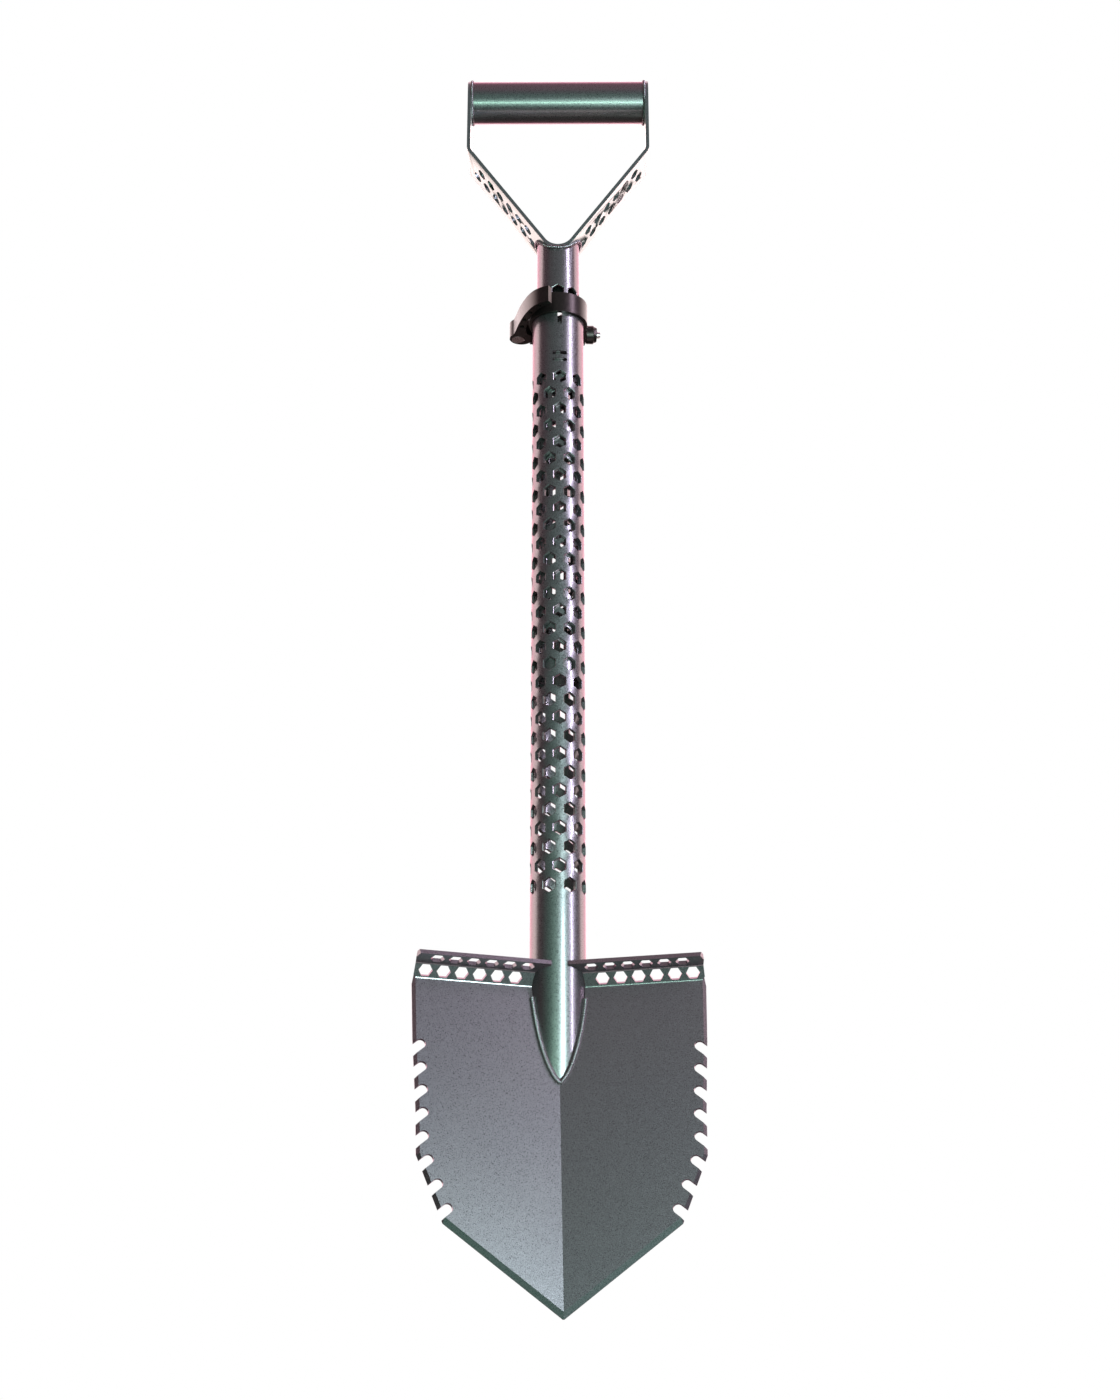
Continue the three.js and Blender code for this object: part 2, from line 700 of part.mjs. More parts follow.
function bolt() {
  const start = PIVOT_X - 3.6;
  return geometryOf(cylinder(BOLT_R, BOLT_END - start, 'x', (BOLT_END + start) / 2, BOLT_Y, COLLAR_Z, 24));
}

function nut() {
  const profile = [[BOLT_R + 0.3, 0], [NUT_R - 1, 0], [NUT_R, 1], [NUT_R, NUT_LENGTH - 2.6],
    [NUT_R - 1, NUT_LENGTH - 2], [NUT_R - 1.6, NUT_LENGTH], [BOLT_R + 0.3, NUT_LENGTH], [BOLT_R + 0.3, 0]];
  const geometry = new THREE.LatheGeometry(profile.map(([x, y]) => new THREE.Vector2(x, y)), 32);
  geometry.rotateZ(-Math.PI / 2);
  geometry.translate(EAR_RIGHT + FIT_GAP, BOLT_Y, COLLAR_Z);
  return geometryOf(solid(geometry));
}

// ---- welds on the blade --------------------------------------------------------------------------
// Height at which a point beside the shaft meets the front or back face of the folded blade.
function plateHeight(x, y, back) {
  const slope = Math.tan(rad(BLADE_LEAN));
  const thickness = back ? PLATE / Math.cos(rad(BLADE_LEAN)) : 0;
  const forward = Math.abs(x) * Math.tan(rad(CREASE)) / Math.cos(rad(BLADE_LEAN));
  return STEP_LINE_Z - (STEP_LINE_Y + thickness - forward - y) / slope;
}

function bladeWeld(back) {
  const reach = back ? 78 : 60;
  const count = back ? 44 : 40;
  const lean = rad(BLADE_LEAN);
  const normal = new THREE.Vector3(0, -Math.cos(lean), Math.sin(lean)).multiplyScalar(back ? -1 : 1);
  const points = [];
  const outs = [];
  const lifts = [];
  for (let i = 0; i <= count; i++) {
    const angle = rad(-reach + (2 * reach * i) / count);
    const radius = OUTER_R + 1.1;
    const x = radius * Math.sin(angle);
    const y = -radius * Math.cos(angle);
    const point = new THREE.Vector3(x, y, plateHeight(x, y, back));
    points.push(point.addScaledVector(normal, 0.9));
    outs.push(new THREE.Vector3(Math.sin(angle), -Math.cos(angle), 0));
    lifts.push(new THREE.Vector3(0, 0, 1));
  }
  let body = bead(points, outs, 2.3, false, lifts);
  body = body.subtract(cylinder(OUTER_R + FIT_GAP, 400, 'z', 0, 0, -300, 48));
  for (const side of [-1, 1]) {
    const plate = new THREE.BoxGeometry(90, 400, 40);
    plate.translate(side * 35, -100, back ? 20 - PLATE - FIT_GAP : FIT_GAP - 20);
    const keep = solid(placeHalf(plate, side));
    const zone = side < 0 ? box(-60, 0, -200, 200, -500, 0) : box(0, 60, -200, 200, -500, 0);
    body = body.subtract(keep.intersect(zone));
  }
  const pieces = body.decompose().sort((a, b) => b.volume() - a.volume());
  return geometryOf(pieces[0]);
}

// ---- assembly --------------------------------------------------------------------------------------
const finishes = {
  paint: { color: '#6f6f74', roughness: 0.35, metalness: 0.85 },
  paintedStrap: { color: '#7f9290', roughness: 0.35, metalness: 0.85 },
  black: { color: '#2b2827', roughness: 0.4, metalness: 0.7 },
  brass: { color: '#8d7a52', roughness: 0.45, metalness: 0.8 },
  steel: { color: '#a9aaad', roughness: 0.3, metalness: 1.0 },
};

const part = new THREE.Group();
part.name = 'detecting_shovel';

// The handle is clamped turned a few degrees round the shaft: nothing keys the two tubes together.
const handlePieces = ['inner_tube', 'handle_strap', 'strap_weld', 'grip_tube', 'grip_weld_left', 'grip_weld_right'];

function addPiece(name, geometry, finish) {
  if (handlePieces.includes(name)) {
    geometry.rotateZ(rad(HANDLE_TURN));
  }
  const material = new THREE.MeshStandardMaterial(finishes[finish]);
  material.name = finish;
  const mesh = new THREE.Mesh(geometry, material);
  mesh.name = name;
  part.add(mesh);
}

addPiece('blade', blade(), 'paint');
addPiece('outer_tube', outerTube(), 'paint');
addPiece('blade_weld_front', bladeWeld(false), 'paint');
addPiece('blade_weld_back', bladeWeld(true), 'paint');
addPiece('inner_tube', innerTube(), 'paint');
addPiece('handle_strap', handleStrap(), 'paintedStrap');
addPiece('strap_weld', strapWeld(), 'paint');
addPiece('grip_tube', gripTube(), 'paint');
addPiece('grip_weld_left', gripWeld(-1), 'paint');
addPiece('grip_weld_right', gripWeld(1), 'paint');
addPiece('clamp_collar', collar(), 'black');
addPiece('cam_washer', camWasher(), 'black');
addPiece('clamp_lever', lever(), 'black');
addPiece('lever_pivot', leverPivot(), 'steel');
addPiece('clamp_bolt', bolt(), 'steel');
addPiece('adjusting_nut', nut(), 'black');

// Origin: middle of the bounding box's foot, the shaft upright.
const bounds = new THREE.Box3().setFromObject(part);
const middle = bounds.getCenter(new THREE.Vector3());
for (const mesh of part.children) {
  mesh.geometry.translate(-middle.x, -middle.y, -bounds.min.z);
}
export default part;
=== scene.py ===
import math

import bmesh
import bpy
from mathutils import Matrix, Vector


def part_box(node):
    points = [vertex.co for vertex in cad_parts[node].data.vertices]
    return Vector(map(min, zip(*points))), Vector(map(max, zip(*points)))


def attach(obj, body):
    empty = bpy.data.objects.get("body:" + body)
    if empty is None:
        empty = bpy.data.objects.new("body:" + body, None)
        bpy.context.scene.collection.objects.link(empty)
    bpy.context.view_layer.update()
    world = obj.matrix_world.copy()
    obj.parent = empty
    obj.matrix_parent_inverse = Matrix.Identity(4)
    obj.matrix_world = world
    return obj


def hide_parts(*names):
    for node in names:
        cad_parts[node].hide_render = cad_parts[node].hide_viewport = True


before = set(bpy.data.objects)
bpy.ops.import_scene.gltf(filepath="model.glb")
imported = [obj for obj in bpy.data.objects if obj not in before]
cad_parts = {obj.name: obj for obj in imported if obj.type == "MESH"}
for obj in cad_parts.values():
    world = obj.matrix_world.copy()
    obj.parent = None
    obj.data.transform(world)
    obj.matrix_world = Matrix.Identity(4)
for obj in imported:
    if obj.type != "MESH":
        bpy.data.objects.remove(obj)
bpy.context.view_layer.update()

# The drawing's own frame: millimetres, the shaft's axis on Z, height zero at the middle of the outer
# tube's hole pattern. The grip tube's centre is 427.6 mm above that.
grip_low, grip_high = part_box("grip_tube")
grip_centre = (grip_low + grip_high) / 2
drawing = Matrix.Translation((0, grip_centre.y, grip_centre.z - 0.4276)) @ Matrix.Scale(0.001, 4)


# ---- Outer tube ---------------------------------------------------------------------------------
# A 38 mm round steel tube, laser-cut all over with staggered hexagons so that mud and weight fall
# away. Its top is slit for the clamp; it is sprayed with the blade in a colour-shift metallic paint.
def linear(code):
    """sRGB hex to linear RGBA."""
    channels = [int(code[i : i + 2], 16) / 255 for i in (1, 3, 5)]
    return [c / 12.92 if c <= 0.04045 else ((c + 0.055) / 1.055) ** 2.4 for c in channels] + [1.0]


def add(tree, kind, settings=None, inputs=None):
    """Adds a node; settings are its properties, inputs its socket values or the sockets that feed them."""
    node = tree.nodes.new(kind)
    for name, value in (settings or {}).items():
        setattr(node, name, value)
    for name, value in (inputs or {}).items():
        if isinstance(value, bpy.types.NodeSocket):
            tree.links.new(value, node.inputs[name])
        else:
            node.inputs[name].default_value = value
    return node


def new_material(name):
    material = bpy.data.materials.new(name)
    material.use_nodes = True
    tree = material.node_tree
    tree.nodes.clear()
    return material, tree


def colour_shift_paint(name, face_on, darker, edge, flake_mm):
    """Sprayed metallic colour-shift paint under clear coat: grey-green flakes that turn violet-pink at a
    glancing angle, a fine sparkle, and a faint orange-peel about 2 mm across in the clear coat. Real flakes
    are under 0.1 mm; they are drawn near half a millimetre so that they show."""
    material, tree = new_material(name)
    place = add(tree, "ShaderNodeTexCoord")
    flakes = add(tree, "ShaderNodeTexNoise", None,
                 {"Vector": place.outputs["Object"], "Scale": 1000 / flake_mm, "Detail": 1.0})
    cloud = add(tree, "ShaderNodeTexNoise", None,
                {"Vector": place.outputs["Object"], "Scale": 9.0, "Detail": 3.0, "Roughness": 0.5})
    tone = add(tree, "ShaderNodeMix", {"data_type": "RGBA"},
               {0: cloud.outputs["Fac"], 6: linear(face_on), 7: linear(darker)})
    sparkle = add(tree, "ShaderNodeMapRange", None,
                  {0: flakes.outputs["Fac"], 1: 0.3, 2: 0.7, 3: 0.82, 4: 1.2})
    flaked = add(tree, "ShaderNodeVectorMath", {"operation": "SCALE"},
                 {0: tone.outputs[2], "Scale": sparkle.outputs[0]})
    rough = add(tree, "ShaderNodeMapRange", None,
                {0: flakes.outputs["Fac"], 1: 0.3, 2: 0.7, 3: 0.26, 4: 0.38})
    peel = add(tree, "ShaderNodeTexNoise", None,
               {"Vector": place.outputs["Object"], "Scale": 450.0, "Detail": 2.0})
    relief = add(tree, "ShaderNodeBump", None,
                 {"Strength": 0.05, "Distance": 0.0002, "Height": peel.outputs["Fac"]})
    shader = add(tree, "ShaderNodeBsdfPrincipled", None, {
        "Base Color": flaked.outputs[0], "Metallic": 0.92, "Roughness": rough.outputs[0],
        "Specular Tint": linear(edge), "Coat Weight": 0.35, "Coat Roughness": 0.08,
        "Sheen Weight": 0.35, "Sheen Roughness": 0.35, "Sheen Tint": linear(edge),
        "Normal": relief.outputs[0]})
    add(tree, "ShaderNodeOutputMaterial", None, {"Surface": shader.outputs[0]})
    return material


tube_paint = colour_shift_paint("colour_shift_paint", "#737572", "#6a6b6d", "#cf93a8", 0.7)


def mesh_object(name, bm):
    mesh = bpy.data.meshes.new(name)
    bm.to_mesh(mesh)
    bm.free()
    piece = bpy.data.objects.new(name, mesh)
    bpy.context.scene.collection.objects.link(piece)
    return piece


def flatten(piece):
    """Turns the evaluated object into its own plain mesh and removes the modifiers."""
    bpy.context.view_layer.update()
    evaluated = piece.evaluated_get(bpy.context.evaluated_depsgraph_get())
    mesh = bpy.data.meshes.new_from_object(evaluated)
    piece.modifiers.clear()
    piece.data = mesh
    return piece


def prism(points, low, high):
    """Closed prism of a plan outline, between two heights, all in millimetres."""
    bm = bmesh.new()
    bottom = [bm.verts.new((x, y, low)) for x, y in points]
    top = [bm.verts.new((x, y, high)) for x, y in points]
    bm.faces.new(list(reversed(bottom)))
    bm.faces.new(top)
    for i in range(len(points)):
        j = (i + 1) % len(points)
        bm.faces.new((bottom[i], bottom[j], top[j], top[i]))
    bmesh.ops.recalc_face_normals(bm, faces=bm.faces)
    return bm


def circle(radius, count, x=0.0, y=0.0):
    turns = [2 * math.pi * i / count for i in range(count)]
    return [(x + radius * math.cos(t), y + radius * math.sin(t)) for t in turns]


def moved(bm, matrix):
    bmesh.ops.transform(bm, matrix=matrix, verts=bm.verts)
    bmesh.ops.recalc_face_normals(bm, faces=bm.faces)
    return bm


def shape(piece, cutters, operation="DIFFERENCE"):
    """One boolean of the piece with its cutters, which are used up."""
    tool = bmesh.new()
    for cutter in cutters:
        mesh = bpy.data.meshes.new("tool")
        cutter.to_mesh(mesh)
        cutter.free()
        tool.from_mesh(mesh)
        bpy.data.meshes.remove(mesh)
    holder = mesh_object("tool", tool)
    change = piece.modifiers.new("shape", "BOOLEAN")
    change.operation = operation
    change.solver = "MANIFOLD"
    change.object = holder
    flatten(piece)
    bpy.data.objects.remove(holder)
    return piece


MERGE_MM = 0.02
BROAD_MM2 = 100


def soften(piece, width, segments=2, angle=32):
    """Rounds the edges sharper than the angle, then shades smooth across the rounding and keeps the creases
    between broad faces."""
    bm = bmesh.new()
    bm.from_mesh(piece.data)
    bmesh.ops.remove_doubles(bm, verts=bm.verts, dist=MERGE_MM)
    bmesh.ops.dissolve_limit(bm, angle_limit=math.radians(0.5), verts=bm.verts, edges=bm.edges)
    bm.to_mesh(piece.data)
    bm.free()
    edge = piece.modifiers.new("edge", "BEVEL")
    edge.width = width
    edge.segments = segments
    edge.limit_method = "ANGLE"
    edge.angle_limit = math.radians(angle)
    edge.use_clamp_overlap = True
    edge.miter_outer = "MITER_ARC"
    flatten(piece)
    piece.data.shade_smooth()
    piece.data.set_sharp_from_angle(angle=math.radians(42))
    bm = bmesh.new()
    bm.from_mesh(piece.data)
    for line in bm.edges:
        broad = all(f.calc_area() > BROAD_MM2 for f in line.link_faces)
        if broad and line.calc_face_angle(0) > math.radians(8):
            line.smooth = False
    bm.to_mesh(piece.data)
    bm.free()
    normals = piece.modifiers.new("normals", "WEIGHTED_NORMAL")
    normals.keep_sharp = True
    normals.weight = 100
    return flatten(piece)


def settle(piece, body, slot, material, *nodes):
    """Gives a finished drawing-space piece its place, material and body, and hides the CAD nodes it stands
    for.
    """
    piece.data.transform(drawing)
    piece.data.materials.clear()
    piece.data.materials.append(material)
    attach(piece, body)
    if nodes:
        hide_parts(*nodes)
    return piece


TUBE_R = 19.05
TUBE_WALL = 2.75
TUBE_LOW, TUBE_HIGH = -375, 250.6
HOLE_PITCH = 14.961
HOLE_FLATS = 8.85
HOLES_AROUND = 8
FIRST_ROW = 181.4
ROWS = 30
ROW_STEP = 12.957
SIDE_PARTS = 2


def hexagon_ring(circumradius):
    """Points round a hexagon with its corners up and down, each side in equal parts."""
    turns = [math.radians(60 * i) for i in range(6)]
    corners = [(circumradius * math.sin(t), circumradius * math.cos(t)) for t in turns]
    ring = []
    for i in range(6):
        (x0, z0), (x1, z1) = corners[i], corners[(i + 1) % 6]
        for k in range(SIDE_PARTS):
            t = k / SIDE_PARTS
            ring.append((x0 + t * (x1 - x0), z0 + t * (z1 - z0)))
    return ring


def hexagon_cell(name, pitch, flats, wall):
    """One honeycomb cell of flat wall with its hole: x along the tube's girth, y inwards, z up."""
    hole = flats / math.sqrt(3)
    rings = [(pitch / math.sqrt(3), 0.0), (hole + 0.35, 0.0), (hole, 0.25),
             (hole, wall - 0.2), (hole + 0.3, wall), (pitch / math.sqrt(3), wall)]
    bm = bmesh.new()
    loops = [[bm.verts.new((x, depth, z)) for x, z in hexagon_ring(size)] for size, depth in rings]
    for a, b in zip(loops, loops[1:]):
        for i in range(len(a)):
            j = (i + 1) % len(a)
            bm.faces.new((a[i], a[j], b[j], b[i]))
    cell = mesh_object(name, bm)
    cell.hide_render = True
    return cell


def plain_ends(name, pitch, wall, around, low, high, last_row, first_row, last_shift):
    """The unpierced ends of the tube, laid out flat, each from the honeycomb's zigzag to a square end."""
    bm = bmesh.new()
    rise = pitch / math.sqrt(3) / 2
    steps = 2 * SIDE_PARTS
    for row_z, end_z, sign, shift in ((first_row, high, 1, 0.0), (last_row, low, -1, last_shift)):
        loops = []
        for depth in (0.0, wall):
            edge, end = [], []
            for j in range(around):
                for k in range(steps):
                    t = k / steps
                    x = (j + shift - 0.5 + t) * pitch
                    z = row_z + sign * (rise + rise * (1 - abs(2 * t - 1)))
                    edge.append(bm.verts.new((x, depth, z)))
                    end.append(bm.verts.new((x, depth, end_z)))
            x = (around + shift - 0.5) * pitch
            edge.append(bm.verts.new((x, depth, row_z + sign * rise)))
            end.append(bm.verts.new((x, depth, end_z)))
            loops.append((edge, end))
        (outer_edge, outer_end), (inner_edge, inner_end) = loops
        for i in range(len(outer_edge) - 1):
            bm.faces.new((outer_edge[i], outer_edge[i + 1], outer_end[i + 1], outer_end[i]))
            bm.faces.new((inner_edge[i + 1], inner_edge[i], inner_end[i], inner_end[i + 1]))
            bm.faces.new((outer_end[i], outer_end[i + 1], inner_end[i + 1], inner_end[i]))
    return mesh_object(name, bm)


def rolled_tube_tree():
    """Geometry Nodes: lays the cell out in staggered rows, adds the plain ends and rolls all into a tube."""
    tree = bpy.data.node_groups.new("rolled_perforated_tube", "GeometryNodeTree")
    face = tree.interface
    face.new_socket("Geometry", in_out="INPUT", socket_type="NodeSocketGeometry")
    for label, kind in (("Cell", "NodeSocketObject"), ("Material", "NodeSocketMaterial"),
                        ("Outer Radius", "NodeSocketFloat"), ("Holes Around", "NodeSocketInt"),
                        ("Rows", "NodeSocketInt"), ("Pitch", "NodeSocketFloat"),
                        ("Row Step", "NodeSocketFloat"), ("First Row", "NodeSocketFloat")):
        face.new_socket(label, in_out="INPUT", socket_type=kind)
    face.new_socket("Geometry", in_out="OUTPUT", socket_type="NodeSocketGeometry")
    given = add(tree, "NodeGroupInput").outputs

    def maths(operation, a, b=0.0):
        return add(tree, "ShaderNodeMath", {"operation": operation}, {0: a, 1: b}).outputs[0]

    count = maths("MULTIPLY", given["Holes Around"], given["Rows"])
    index = add(tree, "GeometryNodeInputIndex").outputs[0]
    row = maths("FLOOR", maths("DIVIDE", maths("ADD", index, 0.5), given["Holes Around"]))
    column = maths("SUBTRACT", index, maths("MULTIPLY", row, given["Holes Around"]))
    stagger = maths("MULTIPLY", maths("MODULO", row, 2.0), 0.5)
    along = maths("MULTIPLY", maths("ADD", column, stagger), given["Pitch"])
    height = maths("SUBTRACT", given["First Row"], maths("MULTIPLY", row, given["Row Step"]))
    spot = add(tree, "ShaderNodeCombineXYZ", None, {"X": along, "Z": height}).outputs[0]
    points = add(tree, "GeometryNodePoints", None, {"Count": count, "Position": spot}).outputs[0]
    cell = add(tree, "GeometryNodeObjectInfo", None, {"Object": given["Cell"]}).outputs["Geometry"]
    cells = add(tree, "GeometryNodeInstanceOnPoints", None, {"Points": points, "Instance": cell}).outputs[0]
    solid = add(tree, "GeometryNodeRealizeInstances", None, {"Geometry": cells}).outputs[0]
    sheet = add(tree, "GeometryNodeJoinGeometry")
    tree.links.new(given["Geometry"], sheet.inputs[0])
    tree.links.new(solid, sheet.inputs[0])
    flat = add(tree, "ShaderNodeSeparateXYZ", None,
               {0: add(tree, "GeometryNodeInputPosition").outputs[0]}).outputs
    girth = maths("MULTIPLY", given["Pitch"], given["Holes Around"])
    angle = maths("MULTIPLY", maths("DIVIDE", flat[0], girth), 2 * math.pi)
    radius = maths("SUBTRACT", given["Outer Radius"], flat[1])
    rolled = add(tree, "ShaderNodeCombineXYZ", None, {
        "X": maths("MULTIPLY", radius, maths("SINE", angle)),
        "Y": maths("MULTIPLY", maths("MULTIPLY", radius, maths("COSINE", angle)), -1.0),
        "Z": flat[2]}).outputs[0]
    tube = add(tree, "GeometryNodeSetPosition", None,
               {"Geometry": sheet.outputs[0], "Position": rolled}).outputs[0]
    joined = add(tree, "GeometryNodeMergeByDistance", None, {"Geometry": tube, "Distance": 0.01}).outputs[0]
    finished = add(tree, "GeometryNodeRealizeInstances", None, {"Geometry": joined}).outputs[0]
    painted = add(tree, "GeometryNodeSetMaterial", None,
                  {"Geometry": finished, "Material": given["Material"]}).outputs[0]
    add(tree, "NodeGroupOutput", None, {"Geometry": painted})
    return tree


tube_tree = rolled_tube_tree()


def perforated_tube(name, radius, wall, low, high, first_row, rows, row_step, pitch):
    """A tube about Z with staggered rows of hexagons, from its two walls to its square ends."""
    last_row = first_row - (rows - 1) * row_step
    cell = hexagon_cell(name + "_cell", pitch, HOLE_FLATS, wall)
    last_shift = (rows - 1) % 2 / 2
    piece = plain_ends(name, pitch, wall, HOLES_AROUND, low, high, last_row, first_row, last_shift)
    roll = piece.modifiers.new("roll", "NODES")
    roll.node_group = tube_tree
    values = {"Cell": cell, "Material": tube_paint, "Outer Radius": radius, "Holes Around": HOLES_AROUND,
              "Rows": rows, "Pitch": pitch, "Row Step": row_step, "First Row": first_row}
    for item in tube_tree.interface.items_tree:
        if item.in_out == "INPUT" and item.name in values:
            roll[item.identifier] = values[item.name]
    flatten(piece)
    bpy.data.objects.remove(cell)
    bm = bmesh.new()
    bm.from_mesh(piece.data)
    bmesh.ops.recalc_face_normals(bm, faces=bm.faces)
    bm.to_mesh(piece.data)
    bm.free()
    return piece


def rectangle(half_x, low_y, high_y):
    return [(-half_x, low_y), (half_x, low_y), (half_x, high_y), (-half_x, high_y)]


SLIT_HALF = 1.65
SLIT_FOOT = 225.6
SLOT_HALF_WIDTH = 5.25
SLOT_HALF_HEIGHT = 1.4
SLOT_HEIGHTS = (195.2, 200.8)
FOOT_Y, FOOT_Z = 19, -300
FOOT_SLANT = math.radians(50)
FRONT_WALL = (-25, -5)

outer_tube = perforated_tube("outer_tube_visual", TUBE_R, TUBE_WALL, TUBE_LOW, TUBE_HIGH,
                             FIRST_ROW, ROWS, ROW_STEP, HOLE_PITCH)
slit = prism(rectangle(SLIT_HALF, *FRONT_WALL), SLIT_FOOT, TUBE_HIGH + 10)
quarter_x = Matrix.Rotation(math.radians(90), 4, "X")
slit_end = moved(prism(circle(SLIT_HALF, 16), 5, 25), Matrix.Translation((0, 0, SLIT_FOOT)) @ quarter_x)
slot_plan = rectangle(SLOT_HALF_WIDTH, *FRONT_WALL)
slots = [prism(slot_plan, z - SLOT_HALF_HEIGHT, z + SLOT_HALF_HEIGHT) for z in SLOT_HEIGHTS]
foot = moved(prism(rectangle(40, -140, 140), -90, 0),
             Matrix.Translation((0, FOOT_Y, FOOT_Z)) @ Matrix.Rotation(FOOT_SLANT, 4, "X"))
shape(outer_tube, [slit] + slots + [foot])
shape(outer_tube, [slit_end])
outer_tube.data.shade_smooth()
outer_tube.data.set_sharp_from_angle(angle=math.radians(28))
settle(outer_tube, "shovel", "paint", tube_paint, "outer_tube")


# ---- Handle strap -------------------------------------------------------------------------------
# One flat steel strap, bent cold to a rounded V with two upright arms, cut with two rows of hexagons
# along each slope, and painted with the rest. The inner tube is coped to sit under it.
STRAP = 2.6
STRAP_HALF_DEPTH = 16
V_ANGLE = math.radians(36.3)
V_APEX_Z = 284.6
V_BEND_R = 12
ARM_BEND_R = 7
ARM_OUT = 69.8
GRIP_Z = 427.6
STRAP_HOLE_FLATS = 8.0
STRAP_HOLE_STEP = 12
STRAP_HOLE_ROWS = ((-5.2, 19), (5.2, 13))
HANDLE_TURN = Matrix.Rotation(math.radians(-4.2), 4, "Z")


def strap_line():
    """Centre line of the right half, from the bottom of the V to the arm's end: (x, z, heading)."""
    bend = V_BEND_R + STRAP / 2
    apex = V_APEX_Z - STRAP / 2 / math.sin(V_ANGLE)
    centre = apex + bend / math.sin(V_ANGLE)
    line = []
    for i in range(11):
        heading = (math.pi / 2 - V_ANGLE) * i / 10
        line.append((bend * math.sin(heading), centre - bend * math.cos(heading), heading))
    arm = ARM_OUT - STRAP / 2
    corner = ARM_BEND_R + STRAP / 2
    middle = (arm - corner, apex + arm / math.tan(V_ANGLE) + corner * math.tan(V_ANGLE / 2))
    for i in range(9):
        heading = math.pi / 2 - V_ANGLE + V_ANGLE * i / 8
        x = middle[0] + corner * math.sin(heading)
        z = middle[1] - corner * math.cos(heading)
        line.append((x, z, heading))
    line.append((arm, GRIP_Z + STRAP_HALF_DEPTH, math.pi / 2))
    return line


def strap_side(offset):
    """One face of the whole strap, from the left arm's end to the right one's: (x, z)."""
    side = [(x + offset * math.sin(h), z - offset * math.cos(h)) for x, z, h in strap_line()]
    return [(-x, z) for x, z in reversed(side[1:])] + side


def across(points, half_depth):
    """Prism of an outline in the X-Z plane, running front to back."""
    return moved(prism(points, -half_depth, half_depth), quarter_x)


def hexagon(flats, start=0.0):
    radius = flats / math.sqrt(3)
    turns = [math.radians(start + 60 * i) for i in range(6)]
    return [(radius * math.cos(t), radius * math.sin(t)) for t in turns]


strap_outline = strap_side(STRAP / 2) + list(reversed(strap_side(-STRAP / 2)))
strap = mesh_object("handle_strap_visual", across(strap_outline, STRAP_HALF_DEPTH))
x0, z0, slope = strap_line()[10]
x1, z1, slope = strap_line()[11]
length = math.hypot(x1 - x0, z1 - z0)
holes = []
for side in (-1, 1):
    turn = Matrix.Rotation(-side * slope, 4, "Y")
    for y, first in STRAP_HOLE_ROWS:
        s = first
        while s < length - 6:
            spot = Matrix.Translation((side * (x0 + math.cos(slope) * s), y, z0 + math.sin(slope) * s))
            holes.append(moved(prism(hexagon(STRAP_HOLE_FLATS), -5, 5), spot @ turn))
            s += STRAP_HOLE_STEP
shape(strap, holes)
half_turn = [math.pi * i / 32 for i in range(33)]
round_end = [(STRAP_HALF_DEPTH * math.cos(t), GRIP_Z + STRAP_HALF_DEPTH * math.sin(t)) for t in half_turn]
arm_outline = [(-STRAP_HALF_DEPTH, 200), (STRAP_HALF_DEPTH, 200)] + round_end
along_x = Matrix(((0, 0, 1, 0), (1, 0, 0, 0), (0, 1, 0, 0), (0, 0, 0, 1)))
shape(strap, [moved(prism(arm_outline, -100, 100), along_x)], "INTERSECT")
soften(strap, 0.35)
strap.data.transform(HANDLE_TURN)
# The strap wears the tube's paint, but in a copy tuned to the light on it. Its greener face-on tone is the
# teal its front edges show under the lamps, and its near-white edge and sheen tint is a painted highlight for
# the white glare on its undersides.
strap_paint = colour_shift_paint("colour_shift_paint_on_strap_with_painted_glare", "#74827f", "#697a76", "#fff2f2", 0.7)
settle(strap, "handle", "strap_paint", strap_paint, "handle_strap")


# ---- Inner tube ---------------------------------------------------------------------------------
# A 31.75 mm tube with the same laser-cut hexagons, sliding in the outer one. Its top is coped to the
# underside of the strap's V, so the weld closes all round.
INNER_R = 15.875
INNER_WALL = 1.975
INNER_LOW, INNER_HIGH = -44.7, 315
INNER_FIRST_ROW = 254.0
INNER_ROWS = 27
INNER_ROW_STEP = 10.8
INNER_PITCH = 12.468
COPE_GAP = 0.2

inner_tube = perforated_tube("inner_tube_visual", INNER_R, INNER_WALL, INNER_LOW, INNER_HIGH,
                             INNER_FIRST_ROW, INNER_ROWS, INNER_ROW_STEP, INNER_PITCH)
under = [point for point in strap_side(STRAP / 2 + COPE_GAP) if point[1] < 378]
shape(inner_tube, [across(under + [(under[-1][0], 500), (under[0][0], 500)], 40)])
inner_tube.data.shade_smooth()
inner_tube.data.set_sharp_from_angle(angle=math.radians(28))
inner_tube.data.transform(HANDLE_TURN)
settle(inner_tube, "handle", "paint", tube_paint, "inner_tube")


# ---- Grip tube ----------------------------------------------------------------------------------
# A plain round tube welded between the strap's arms as the hand grip, sprayed with the same paint.
def turned(name, profile, count):
    """Closed ring of revolution about X: the profile is (radius, x) and closes on itself."""
    bm = bmesh.new()
    loops = []
    for i in range(count):
        t = 2 * math.pi * i / count
        loops.append([bm.verts.new((x, r * math.cos(t), r * math.sin(t))) for r, x in profile])
    for i in range(count):
        a, b = loops[i], loops[(i + 1) % count]
        for k in range(len(profile)):
            m = (k + 1) % len(profile)
            bm.faces.new((a[k], b[k], b[m], a[m]))
    bmesh.ops.recalc_face_normals(bm, faces=bm.faces)
    piece = mesh_object(name, bm)
    piece.data.shade_smooth()
    piece.data.set_sharp_from_angle(angle=math.radians(30))
    return piece


GRIP_R = 15.7
GRIP_BORE_R = 13.7
half = ARM_OUT - STRAP - 0.02
grip_wall = [(GRIP_R, -half), (GRIP_R, half), (GRIP_BORE_R, half), (GRIP_BORE_R, -half)]
grip = turned("grip_tube_visual", grip_wall, 96)
grip.data.transform(HANDLE_TURN @ Matrix.Translation((0, 0, GRIP_Z)))
settle(grip, "handle", "paint", tube_paint, "grip_tube")


